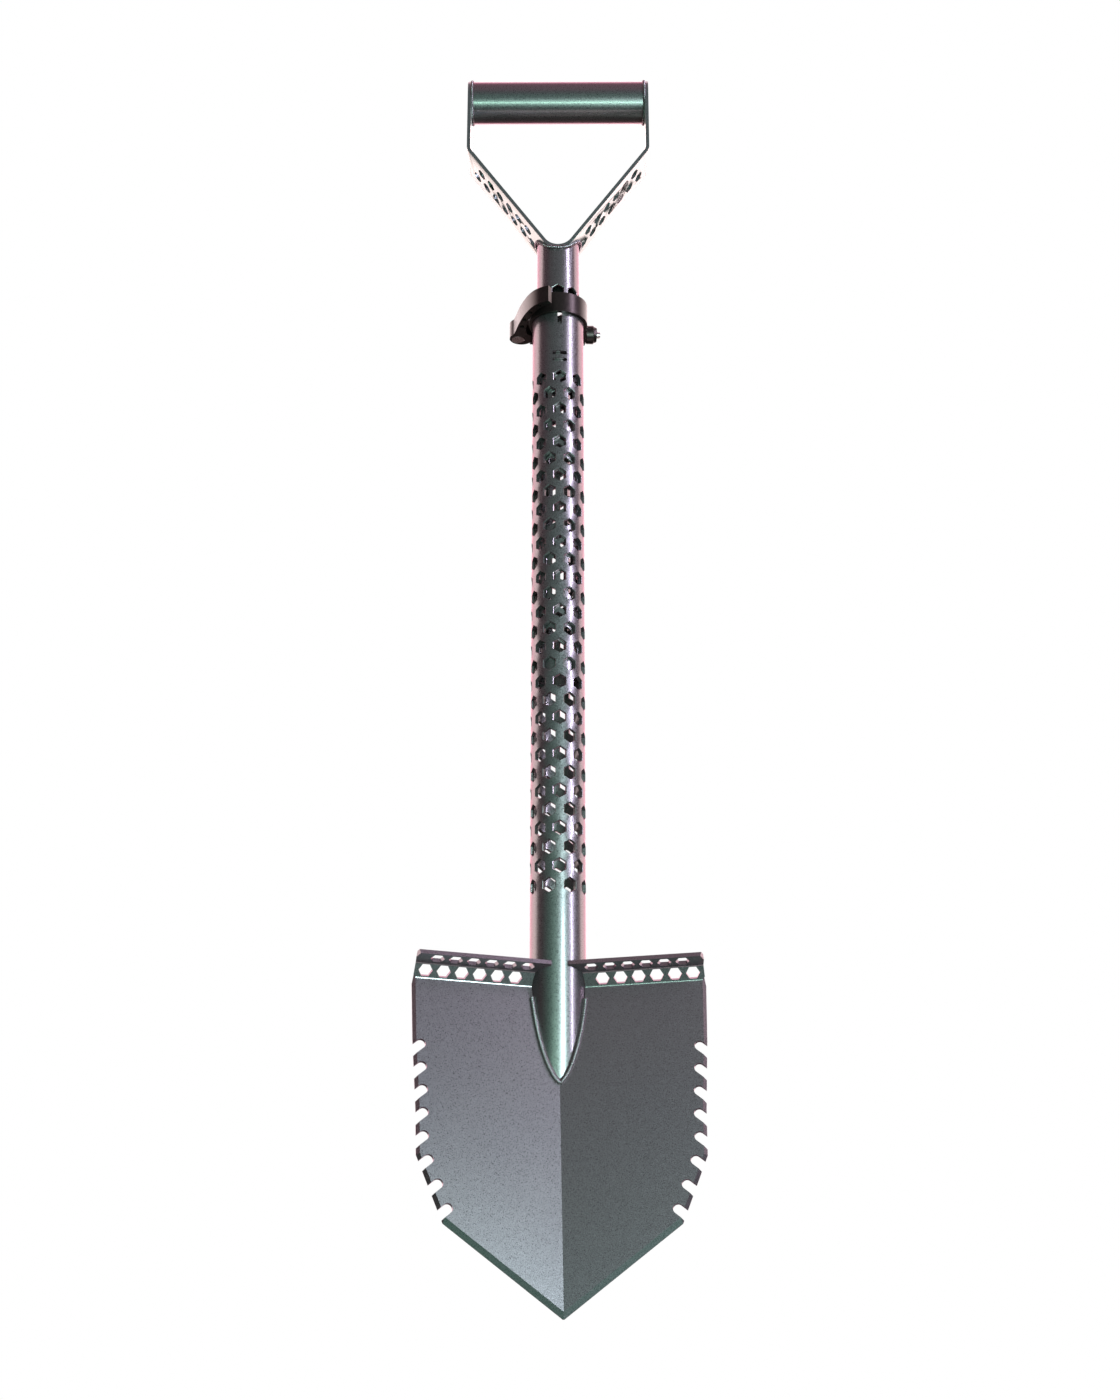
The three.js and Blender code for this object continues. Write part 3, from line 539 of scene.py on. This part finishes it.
# ---- Blade --------------------------------------------------------------------------------------
# One 3 mm spring-steel plate: laser-cut outline with slanted gullets, creased down the middle, its
# top folded forward twice into perforated foot steps, and the cutting edges ground to a bevel.
PLATE = 3.0
LEAN = math.radians(14)
CREASE = math.radians(9.8)
WEB, LIP = 10.2, 11.2
BEND = math.radians(40)
BEND_R = 2.0
BEND_LINE_SLOPE = math.radians(0.5)
STEP_LINE_Y, STEP_LINE_Z = -4.4, -262.1
STEP_HOLE_FLATS = 8.0
STEP_HOLE_STEP = 12
STEP_HOLE_ROWS = ((29.9, 5.3, 1), (23.6, 6.0, 2))
GULLET_FIRST, GULLET_STEP, GULLETS = 47.8, 14.84, 8
GULLET_R = 3.2
GULLET_DEPTH = 4.6
GULLET_SLANT = math.radians(40)
GROUND_EDGE = 0.5
SIDE_GRIND, TIP_GRIND = 2.2, 3.3
SOCKET_R = 19.35
RUN = [(98.2, -4), (96.4, 40), (93.2, 86), (92.2, 115), (74.6, 156.5), (0, 210.5)]


def half_place(side):
    """From the flat half (u out, v up from the step line, w out of the front) to the drawing."""
    lean = Matrix.Rotation(math.radians(90) - LEAN, 4, "X")
    return Matrix.Translation((0, STEP_LINE_Y, STEP_LINE_Z)) @ lean @ Matrix.Rotation(-side * CREASE, 4, "Y")


def bend_line(side):
    return Matrix.Rotation(side * BEND_LINE_SLOPE, 4, "Z")


def fold(side, number):
    frame_of_fold = bend_line(side) @ Matrix.Rotation(BEND, 4, "X")
    if number == 2:
        frame_of_fold = frame_of_fold @ Matrix.Translation((0, WEB, 0)) @ Matrix.Rotation(BEND, 4, "X")
    return frame_of_fold


def folded_profile():
    """Front and back lines of plate, web and lip in (v, w), with the bends rounded."""
    front, back = [], []
    v, w, heading = -230.0, 0.0, 0.0
    trim = BEND_R * math.tan(BEND / 2)
    for number, run in enumerate((230, WEB, LIP)):
        start = 0 if number == 0 else trim
        stop = run - (trim if number < 2 else 0)
        for s in (start, stop):
            p, q = v + s * math.cos(heading), w + s * math.sin(heading)
            front.append((p, q))
            back.append((p + PLATE * math.sin(heading), q - PLATE * math.cos(heading)))
        v, w = v + run * math.cos(heading), w + run * math.sin(heading)
        if number < 2:
            p, q = v - trim * math.cos(heading), w - trim * math.sin(heading)
            cv, cw = p - BEND_R * math.sin(heading), q + BEND_R * math.cos(heading)
            for i in range(1, 12):
                t = heading + BEND * i / 12
                front.append((cv + BEND_R * math.sin(t), cw - BEND_R * math.cos(t)))
                back.append((cv + (BEND_R + PLATE) * math.sin(t), cw - (BEND_R + PLATE) * math.cos(t)))
            heading += BEND
    return front + list(reversed(back))


def mirrored(bm, side):
    if side < 0:
        moved(bm, Matrix.Scale(-1, 4, (1, 0, 0)))
    return bm


def edge_at(v):
    for (u0, v0), (u1, v1) in zip(RUN, RUN[1:]):
        if v <= v1:
            return u0 + (v - v0) / (v1 - v0) * (u1 - u0)
    return 0.0


def place_at(position, angle=0.0, axis="Z"):
    return Matrix.Translation(position) @ Matrix.Rotation(angle, 4, axis)


def folded_sheet(side, place):
    """The folded plate of one half, past the crease and past the outline on every side."""
    sheet = prism(folded_profile(), -30, 120)
    to_half = Matrix(((0, 0, 1, 0), (1, 0, 0, 0), (0, 1, 0, 0), (0, 0, 0, 1)))
    moved(sheet, to_half)
    if side < 0:
        moved(sheet, Matrix.Translation((-90, 0, 0)))
    return moved(sheet, place @ bend_line(side))


def step_holes(side, place):
    cutters = []
    for u_first, height, number in STEP_HOLE_ROWS:
        for i in range(6):
            spot = Matrix.Translation((side * (u_first + STEP_HOLE_STEP * i), height, 0))
            cutters.append(moved(prism(hexagon(STEP_HOLE_FLATS), -8, 4), place @ fold(side, number) @ spot))
    return cutters


def gullets(side, place):
    """Round-ended slots that run up and in from the edge, to leave hooked teeth between them."""
    cutters = []
    turns = [math.pi / 2 + math.pi * k / 16 for k in range(17)]
    slot = [(GULLET_R * math.cos(t), GULLET_R * math.sin(t)) for t in turns]
    slot += [(18, -GULLET_R), (18, GULLET_R)]
    for i in range(GULLETS):
        v = GULLET_FIRST + GULLET_STEP * i
        rise = GULLET_DEPTH * math.tan(GULLET_SLANT)
        gullet = moved(prism(slot, -8, 4), place_at((edge_at(v) - GULLET_DEPTH, rise - v, 0), -GULLET_SLANT))
        cutters.append(moved(mirrored(gullet, side), place))
    return cutters


def ground_edge(start, end, width):
    """What the grinder takes off the front along one run of the edge, in the flat half."""
    run = math.hypot(end[0] - start[0], end[1] - start[1])
    grind = prism([(-6, 0), (run + 6, 0), (run + 6, 12), (-6, 12)], 0, 8)
    grind = moved(grind, Matrix.Rotation(-math.atan2(PLATE - GROUND_EDGE, width), 4, "X"))
    along = Matrix.Rotation(math.atan2(start[1] - end[1], end[0] - start[0]), 4, "Z")
    grind = moved(grind, along @ Matrix.Translation((0, -width, 0)))
    return moved(grind, Matrix.Translation((start[0], -start[1], 0)))


halves = []
for side in (-1, 1):
    place = half_place(side)
    plate = mesh_object("blade_half", folded_sheet(side, place))
    outline = [(-14, 60), (RUN[0][0], 60)] + [(u, -v) for u, v in RUN] + [(-14, -RUN[-1][1])]
    shape(plate, [moved(mirrored(prism(outline, -30, 60), side), place)], "INTERSECT")
    shape(plate, step_holes(side, place) + gullets(side, place))
    for start, end in zip(RUN, RUN[1:]):
        width = TIP_GRIND if end == RUN[-1] else SIDE_GRIND
        shape(plate, [moved(mirrored(ground_edge(start, end, width), side), place)])
    step_end = moved(prism([(0, -30), (60, -30), (60, 30), (0, 30)], 0, 40),
                     place_at((96.8, -10, -261), math.radians(-10), "Y"))
    step_corner = moved(prism([(0, -40), (40, -40), (40, 40), (0, 40)], -20, 20),
                        place_at((93.6, -31, -238), math.radians(-36)))
    for trim in (step_end, step_corner):
        shape(plate, [mirrored(trim, side)])
    own_side = prism([(0, -200), (side * 200, -200), (side * 200, 200), (0, 200)], -600, 0)
    shape(plate, [own_side], "INTERSECT")
    halves.append(plate)
other = bmesh.new()
other.from_mesh(halves[1].data)
bpy.data.objects.remove(halves[1])
blade = shape(halves[0], [other], "UNION")
blade.name = "blade_visual"
shape(blade, [prism(circle(SOCKET_R, 180), -600, 0)])
shape(blade, [prism(rectangle(5.6, -40, 0), -259, -200)])
blade.data.shade_flat()
blade_paint = colour_shift_paint("colour_shift_paint_on_blade", "#7a7878", "#737175", "#b98ba0", 0.5)
settle(blade, "shovel", "paint", blade_paint, "blade")


# ---- Clamp collar -------------------------------------------------------------------------------
# A machined aluminium split collar, black anodised, that squeezes the slit tube: a thin ring with
# two ears at the back for the bolt, and its edges broken.
def anodised(name, tone):
    """Black anodised aluminium, bead-blasted first: satin, near-black with a warm cast and a fine grain. The
    grain is drawn at about 1.7 mm, coarser than the real one, so that it shows."""
    material, tree = new_material(name)
    where = add(tree, "ShaderNodeTexCoord")
    grain = add(tree, "ShaderNodeTexNoise", None,
                {"Vector": where.outputs["Object"], "Scale": 600.0, "Detail": 3.0})
    shade = add(tree, "ShaderNodeMix", {"data_type": "RGBA"},
                {0: grain.outputs["Fac"], 6: linear(tone), 7: linear("#3a3431")})
    rough = add(tree, "ShaderNodeMapRange", None, {0: grain.outputs["Fac"], 3: 0.28, 4: 0.42})
    relief = add(tree, "ShaderNodeBump", None,
                 {"Strength": 0.1, "Distance": 0.0001, "Height": grain.outputs["Fac"]})
    shader = add(tree, "ShaderNodeBsdfPrincipled", None, {
        "Base Color": shade.outputs[2], "Metallic": 0.85, "Roughness": rough.outputs[0],
        "Normal": relief.outputs[0]})
    add(tree, "ShaderNodeOutputMaterial", None, {"Surface": shader.outputs[0]})
    return material


black = anodised("black_anodised_aluminium", "#272322")
COLLAR_Z = 241.0
COLLAR_HALF = 7.9
COLLAR_R, COLLAR_BORE_R = 21.9, 19.25
EAR_LEFT, EAR_RIGHT, EAR_BACK, EAR_CHAMFER = -14, 22.5, 32, 3
BOLT_Y = 27
BOLT_HOLE_R = 2.9
collar_low, collar_high = COLLAR_Z - COLLAR_HALF, COLLAR_Z + COLLAR_HALF
collar = mesh_object("clamp_collar_visual", prism(circle(COLLAR_R, 128), collar_low, collar_high))
ears = [(EAR_LEFT, 6), (EAR_RIGHT, 6), (EAR_RIGHT, EAR_BACK - EAR_CHAMFER),
        (EAR_RIGHT - EAR_CHAMFER, EAR_BACK), (EAR_LEFT + EAR_CHAMFER, EAR_BACK),
        (EAR_LEFT, EAR_BACK - EAR_CHAMFER)]
shape(collar, [prism(ears, collar_low, collar_high)], "UNION")
shape(collar, [prism(circle(COLLAR_BORE_R, 128), 200, 300)])
shape(collar, [prism(rectangle(1.5, 0, 60), 200, 300)])
to_x = Matrix.Rotation(math.radians(90), 4, "Y")
bolt_hole = moved(prism(circle(BOLT_HOLE_R, 32), -60, 60), Matrix.Translation((0, BOLT_Y, COLLAR_Z)) @ to_x)
shape(collar, [bolt_hole])
soften(collar, 0.5, 3)
settle(collar, "clamp", "black", black, "clamp_collar")


# ---- Bolt, barrel, washer and nut -----------------------------------------------------------------
# A turned steel cross barrel carries the bolt's end in the lever; a hollowed washer takes the cam, and
# a round thumb nut on the other ear sets the tension.
def turned_steel(name, tone, metal_roughness):
    """Bright turned steel: light grey, with fine tool marks that break up its reflections a little."""
    material, tree = new_material(name)
    where = add(tree, "ShaderNodeTexCoord")
    marks = add(tree, "ShaderNodeTexNoise", None,
                {"Vector": where.outputs["Object"], "Scale": 900.0, "Detail": 2.0})
    rough = add(tree, "ShaderNodeMapRange", None,
                {0: marks.outputs["Fac"], 3: metal_roughness - 0.06, 4: metal_roughness + 0.08})
    relief = add(tree, "ShaderNodeBump", None,
                 {"Strength": 0.1, "Distance": 0.0001, "Height": marks.outputs["Fac"]})
    shader = add(tree, "ShaderNodeBsdfPrincipled", None, {
        "Base Color": linear(tone), "Metallic": 1.0, "Roughness": rough.outputs[0],
        "Normal": relief.outputs[0]})
    add(tree, "ShaderNodeOutputMaterial", None, {"Surface": shader.outputs[0]})
    return material


steel = turned_steel("turned_steel", "#c9c8c6", 0.28)
BOLT_R = 2.5
BOLT_LEFT, BOLT_RIGHT = -34.6, 34
PIVOT_X = -28.9
PIVOT_R = 5
LEVER_HALF = 6.35
CAM_X, CAM_Y = -26.5, 25.2
CAM_SEAT_R = 9.05
WASHER_LEFT, WASHER_RIGHT = -19.6, -14.2
NUT_LEFT, NUT_RIGHT = 22.6, 31.3

bolt_profile = [(0.4, BOLT_LEFT), (2.1, BOLT_LEFT), (BOLT_R, BOLT_LEFT + 0.4), (BOLT_R, BOLT_RIGHT - 0.5),
                (2.1, BOLT_RIGHT), (0.4, BOLT_RIGHT)]
bolt = turned("clamp_bolt_visual", bolt_profile, 32)
bolt.data.transform(Matrix.Translation((0, BOLT_Y, COLLAR_Z)))
settle(bolt, "clamp", "steel", steel, "clamp_bolt")

lever_low, lever_high = COLLAR_Z - LEVER_HALF, COLLAR_Z + LEVER_HALF
barrel = mesh_object("lever_pivot_visual", prism(circle(PIVOT_R, 48, PIVOT_X, BOLT_Y), lever_low, lever_high))
soften(barrel, 0.5, 3)
settle(barrel, "clamp", "steel", steel, "lever_pivot")

washer_plan = [(WASHER_LEFT, 20.5), (WASHER_RIGHT, 20.5), (WASHER_RIGHT, EAR_BACK), (WASHER_LEFT, EAR_BACK)]
washer = mesh_object("cam_washer_visual", prism(washer_plan, COLLAR_Z - 7, COLLAR_Z + 7))
shape(washer, [prism(circle(CAM_SEAT_R, 64, CAM_X, CAM_Y), 200, 300)])
soften(washer, 0.4)
settle(washer, "clamp", "black", black, "cam_washer")

nut_profile = [(2.6, NUT_LEFT), (6, NUT_LEFT), (7, 23.4), (7, 28.6), (6.2, 29.4), (5.4, NUT_RIGHT),
               (2.6, NUT_RIGHT)]
nut = turned("adjusting_nut_visual", nut_profile, 64)
nut.data.transform(Matrix.Translation((0, BOLT_Y, COLLAR_Z)))
soften(nut, 0.15)
settle(nut, "nut", "black", black, "adjusting_nut")


# ---- Clamp lever --------------------------------------------------------------------------------
# A forged aluminium quick-release lever, black anodised: a forked cam head round the barrel and a
# curved blade that wraps the collar's left side, with four small pockets in its underside.
CAM_R = 8.8
FORK_HALF = 3.3
FORK_REACH = 16
POCKETS = ((-26.6, 6.4, 1.7), (-25.2, -4.2, 1.6), (-21.6, -14.9, 1.6), (-15.6, -25.4, 1.6))


def smooth_step(p, q, r, s, t):
    """Point at t between q and r on the smooth curve through p, q, r and s."""
    bend = 2 * p - 5 * q + 4 * r - s
    twist = 3 * q - p - 3 * r + s
    return 0.5 * (2 * q + (r - p) * t + bend * t * t + twist * t ** 3)


def lever_spine():
    """Centre line and half width of the lever in plan, as one smooth curve through its widths."""
    keys = [(CAM_X, CAM_Y, 8.4), (-27.4, 15.5, 4.4), (-26.0, 0, 2.85), (-22.6, -12.5, 2.75),
            (-18.4, -21.7, 2.9), (-13.6, -27.6, 2.7), (-8.1, -31.6, 2.2)]
    points = []
    for i in range(len(keys) - 1):
        a, b, c, d = (keys[max(i - 1, 0)], keys[i], keys[i + 1], keys[min(i + 2, len(keys) - 1)])
        for k in range(6):
            t = k / 6
            points.append([smooth_step(*near, t) for near in zip(a, b, c, d)])
    points.append(list(keys[-1]))
    return points


spine = lever_spine()
left_side, right_side = [], []
for i in range(3, len(spine)):
    before, here, after = spine[i - 1], spine[i], spine[min(i + 1, len(spine) - 1)]
    dx, dy = after[0] - before[0], after[1] - before[1]
    size = math.hypot(dx, dy)
    nx, ny = -dy / size, dx / size
    left_side.append((here[0] - nx * here[2], here[1] - ny * here[2]))
    right_side.append((here[0] + nx * here[2], here[1] + ny * here[2]))
lever = mesh_object("clamp_lever_visual", prism(left_side + right_side[::-1], lever_low, lever_high))
shape(lever, [prism(circle(CAM_R, 64, CAM_X, CAM_Y), lever_low, lever_high)], "UNION")
shape(lever, [prism(circle(PIVOT_R + 0.15, 48, PIVOT_X, BOLT_Y), 200, 300)])
turns = [math.radians(-34 + 20 * i) for i in range(11)]
fork = [(PIVOT_X + FORK_REACH * math.cos(t), BOLT_Y + FORK_REACH * math.sin(t)) for t in turns]
shape(lever, [prism([(PIVOT_X, BOLT_Y)] + fork, COLLAR_Z - FORK_HALF, COLLAR_Z + FORK_HALF)])
shape(lever, [prism(circle(radius, 20, x, y), COLLAR_Z - 10, COLLAR_Z - 2.4) for x, y, radius in POCKETS])
soften(lever, 0.9, 3)
settle(lever, "lever", "black", black, "clamp_lever")


# ---- Welds --------------------------------------------------------------------------------------
# TIG welds laid by hand: overlapping flattened puddles along each joint, painted over.
def weld_tree():
    """Geometry Nodes: puddles along a path, each tipped a little along the run."""
    tree = bpy.data.node_groups.new("weld_run", "GeometryNodeTree")
    face = tree.interface
    face.new_socket("Geometry", in_out="INPUT", socket_type="NodeSocketGeometry")
    for label, kind in (("Material", "NodeSocketMaterial"), ("Radius", "NodeSocketFloat"),
                        ("Step", "NodeSocketFloat"), ("Flatness", "NodeSocketFloat")):
        face.new_socket(label, in_out="INPUT", socket_type=kind)
    face.new_socket("Geometry", in_out="OUTPUT", socket_type="NodeSocketGeometry")
    given = add(tree, "NodeGroupInput").outputs
    path = add(tree, "GeometryNodeMeshToCurve", None, {"Mesh": given["Geometry"]}).outputs[0]
    points = add(tree, "GeometryNodeCurveToPoints", {"mode": "LENGTH"},
                 {"Curve": path, "Length": given["Step"]})
    puddle = add(tree, "GeometryNodeMeshIcoSphere", None,
                 {"Radius": given["Radius"], "Subdivisions": 2}).outputs[0]
    thin = add(tree, "ShaderNodeCombineXYZ", None, {"X": 1.0, "Y": 1.0, "Z": given["Flatness"]}).outputs[0]
    squat = add(tree, "GeometryNodeTransform", None,
                {"Geometry": puddle, "Scale": thin, "Rotation": (0.5, 0.0, 0.0)}).outputs[0]
    size = add(tree, "FunctionNodeRandomValue", {"data_type": "FLOAT"}, {2: 0.88, 3: 1.1, "Seed": 7})
    laid = add(tree, "GeometryNodeInstanceOnPoints", None, {
        "Points": points.outputs[0], "Instance": squat, "Rotation": points.outputs["Rotation"],
        "Scale": size.outputs[1]}).outputs[0]
    solid = add(tree, "GeometryNodeRealizeInstances", None, {"Geometry": laid}).outputs[0]
    smooth = add(tree, "GeometryNodeSetShadeSmooth", None, {"Geometry": solid}).outputs[0]
    painted = add(tree, "GeometryNodeSetMaterial", None,
                  {"Geometry": smooth, "Material": given["Material"]}).outputs[0]
    add(tree, "NodeGroupOutput", None, {"Geometry": painted})
    return tree


weld_nodes = weld_tree()


PUDDLE_STEP = 0.62
PUDDLE_FLATNESS = 0.55


def weld(name, path, closed, radius, body, node):
    """One run of puddles along the path, for the CAD node it stands for."""
    bm = bmesh.new()
    corners = [bm.verts.new(p) for p in path]
    for a, b in zip(corners, corners[1:] + ([corners[0]] if closed else [])):
        bm.edges.new((a, b))
    piece = mesh_object(name, bm)
    run = piece.modifiers.new("run", "NODES")
    run.node_group = weld_nodes
    values = {"Material": tube_paint, "Radius": radius, "Step": radius * PUDDLE_STEP,
              "Flatness": PUDDLE_FLATNESS}
    for item in weld_nodes.interface.items_tree:
        if item.in_out == "INPUT" and item.name in values:
            run[item.identifier] = values[item.name]
    flatten(piece)
    if body == "handle":
        piece.data.transform(HANDLE_TURN)
    return settle(piece, body, "paint", tube_paint, node)


def blade_height(x, y, back):
    """Height at which the blade's front or back face passes a plan point."""
    thickness = PLATE / math.cos(LEAN) if back else 0.0
    forward = abs(x) * math.tan(CREASE) / math.cos(LEAN)
    return STEP_LINE_Z - (STEP_LINE_Y + thickness - forward - y) / math.tan(LEAN)


BEAD_R = 1.9
BEAD_PATH_R = 19.9


def socket_path(reach, back):
    """Where the tube's wall meets the blade, to the given number of degrees on each side of the front."""
    path = []
    for i in range(61):
        t = math.radians(-reach + 2 * reach * i / 60)
        x, y = BEAD_PATH_R * math.sin(t), -BEAD_PATH_R * math.cos(t)
        lift = -0.4 if back else 0.4
        path.append((x, y - lift * math.cos(LEAN), blade_height(x, y, back) + lift * math.sin(LEAN)))
    return path


weld("blade_weld_front_visual", socket_path(62, False), False, BEAD_R, "shovel", "blade_weld_front")
weld("blade_weld_back_visual", socket_path(78, True), False, BEAD_R, "shovel", "blade_weld_back")


def height_under(x):
    """Height of the strap's underside above a point on X."""
    line = strap_side(STRAP / 2)
    for (xa, za), (xb, zb) in zip(line, line[1:]):
        if xa <= x <= xb:
            return za + (x - xa) / (xb - xa) * (zb - za)
    return line[0][1]


STRAP_BEAD_R, STRAP_BEAD_PATH_R = 1.7, 16.3
GRIP_BEAD_R, GRIP_BEAD_PATH_R = 1.2, 15.9
ring = []
for i in range(72):
    t = 2 * math.pi * i / 72
    x = STRAP_BEAD_PATH_R * math.sin(t)
    ring.append((x, -STRAP_BEAD_PATH_R * math.cos(t), height_under(x) - 0.5))
weld("strap_weld_visual", ring, True, STRAP_BEAD_R, "handle", "strap_weld")
for side, word in ((-1, "left"), (1, "right")):
    ring = [(side * (ARM_OUT - STRAP - 0.5), y, GRIP_Z + z) for y, z in circle(GRIP_BEAD_PATH_R, 60)]
    weld("grip_weld_" + word + "_visual", ring, True, GRIP_BEAD_R, "handle", "grip_weld_" + word)


# ---- Floor, light and camera ----------------------------------------------------------------------
# A small pale floor well below the hanging tool and a white surround. What the paint reflects is dark
# in front, with a green-white band low down, maroon at the sides and pale pink behind.
FLOOR_TOP = -0.45
floor = mesh_object("floor", prism(circle(0.4, 96), FLOOR_TOP - 0.02, FLOOR_TOP))
pale, pale_tree = new_material("pale_floor")
matt = add(pale_tree, "ShaderNodeBsdfPrincipled", None, {"Base Color": linear("#d2cfcb"), "Roughness": 0.9})
add(pale_tree, "ShaderNodeOutputMaterial", None, {"Surface": matt.outputs[0]})
floor.data.materials.append(pale)

world = bpy.data.worlds.new("surround")
bpy.context.scene.world = world
world.use_nodes = True
sky = world.node_tree
sky.nodes.clear()
facing = add(sky, "ShaderNodeSeparateXYZ", None, {0: add(sky, "ShaderNodeTexCoord").outputs["Generated"]})


def gradient(value, low, high, stops):
    """Colour ramp over a value's range; the stops are (position, colour)."""
    spread = add(sky, "ShaderNodeMapRange", None, {0: value, 1: low, 2: high})
    node = add(sky, "ShaderNodeValToRGB", None, {0: spread.outputs[0]})
    marks = node.color_ramp.elements
    marks[0].position, marks[0].color = stops[0][0], linear(stops[0][1])
    marks[1].position, marks[1].color = stops[-1][0], linear(stops[-1][1])
    for position, code in stops[1:-1]:
        marks.new(position).color = linear(code)
    return node.outputs[0]


up = facing.outputs[2]
front = gradient(up, -1.0, 1.0, [
    (0.0, "#141212"), (0.08, "#161a19"), (0.16, "#2c4038"), (0.25, "#86cfb4"), (0.33, "#4c7c6c"),
    (0.42, "#202826"), (0.54, "#6f9f8c"), (0.60, "#749a8d"), (0.67, "#7c8084"), (0.78, "#7c797c"),
    (0.84, "#b08a98"), (0.93, "#c39aa6"), (1.0, "#c39ca6")])
side = gradient(up, -1.0, 1.0, [
    (0.0, "#141011"), (0.42, "#2a1c20"), (0.5, "#5a3040"), (0.8, "#7c5264"), (1.0, "#b98f9c")])
behind = gradient(up, -1.0, 1.0, [
    (0.0, "#1c1616"), (0.42, "#3a2c2c"), (0.5, "#ffe9e6"), (0.8, "#ffe9ea"), (0.92, "#d8b4bc"),
    (1.0, "#b98f9c")])
backwards = facing.outputs[1]
turn = add(sky, "ShaderNodeMapRange", {"interpolation_type": "SMOOTHSTEP"},
           {0: backwards, 1: -0.85, 2: -0.25})
surround = add(sky, "ShaderNodeMix", {"data_type": "RGBA"}, {0: turn.outputs[0], 6: front, 7: side})
open_back = add(sky, "ShaderNodeMapRange", {"interpolation_type": "SMOOTHSTEP"},
                {0: backwards, 1: 0.06, 2: 0.26})
back_glow = add(sky, "ShaderNodeVectorMath", {"operation": "SCALE"}, {0: behind, "Scale": 3.6})
ramp = add(sky, "ShaderNodeMix", {"data_type": "RGBA"},
           {0: open_back.outputs[0], 6: surround.outputs[2], 7: back_glow.outputs[0]})
seen = add(sky, "ShaderNodeLightPath").outputs["Is Camera Ray"]
glow = add(sky, "ShaderNodeBackground", None, {"Color": ramp.outputs[2], "Strength": 1.0})
white = add(sky, "ShaderNodeBackground", None, {"Color": (1, 1, 1, 1), "Strength": 1.0})
pick = add(sky, "ShaderNodeMixShader", None, {0: seen, 1: glow.outputs[0], 2: white.outputs[0]})
add(sky, "ShaderNodeOutputWorld", None, {"Surface": pick.outputs[0]})


def soft_box(name, position, target, width, height, power, tone="#ffffff"):
    light = bpy.data.lights.new(name, "AREA")
    light.shape = "RECTANGLE"
    light.size, light.size_y = width, height
    light.energy = power
    light.color = linear(tone)[:3]
    holder = bpy.data.objects.new(name, light)
    bpy.context.scene.collection.objects.link(holder)
    holder.location = position
    holder.rotation_euler = (Vector(target) - Vector(position)).to_track_quat("-Z", "Y").to_euler()
    holder.visible_camera = False
    return holder


soft_box("tall_strip", (1.38, -1.0, 1.15), (0, 0, 0.55), 0.07, 1.9, 40, "#efe0ff")
soft_box("low_front", (0.42, -1.42, 0.12), (0, 0, 0.25), 0.22, 0.75, 22, "#e2fbff")
soft_box("low_strip", (0, -1.35, 0.04), (0, 0, 0.88), 1.3, 0.13, 9, "#c6ffe6")

camera = bpy.data.objects.new("camera", bpy.data.cameras.new("camera"))
bpy.context.scene.collection.objects.link(camera)
bpy.context.scene.camera = camera
camera.data.lens = 44.69
camera.data.sensor_width = 36
azimuth, elevation, reach = math.radians(-3.93), math.radians(-16.92), 1.2347
aim = drawing @ Vector((2.6, 16.6, -55.1))
level = math.cos(elevation)
away = Vector((math.sin(azimuth) * level, -math.cos(azimuth) * level, math.sin(elevation)))
camera.location = aim + away * reach
camera.rotation_mode = "QUATERNION"
camera.rotation_quaternion = (-away).to_track_quat("-Z", "Y")
bpy.context.scene.view_settings.view_transform = "Standard"
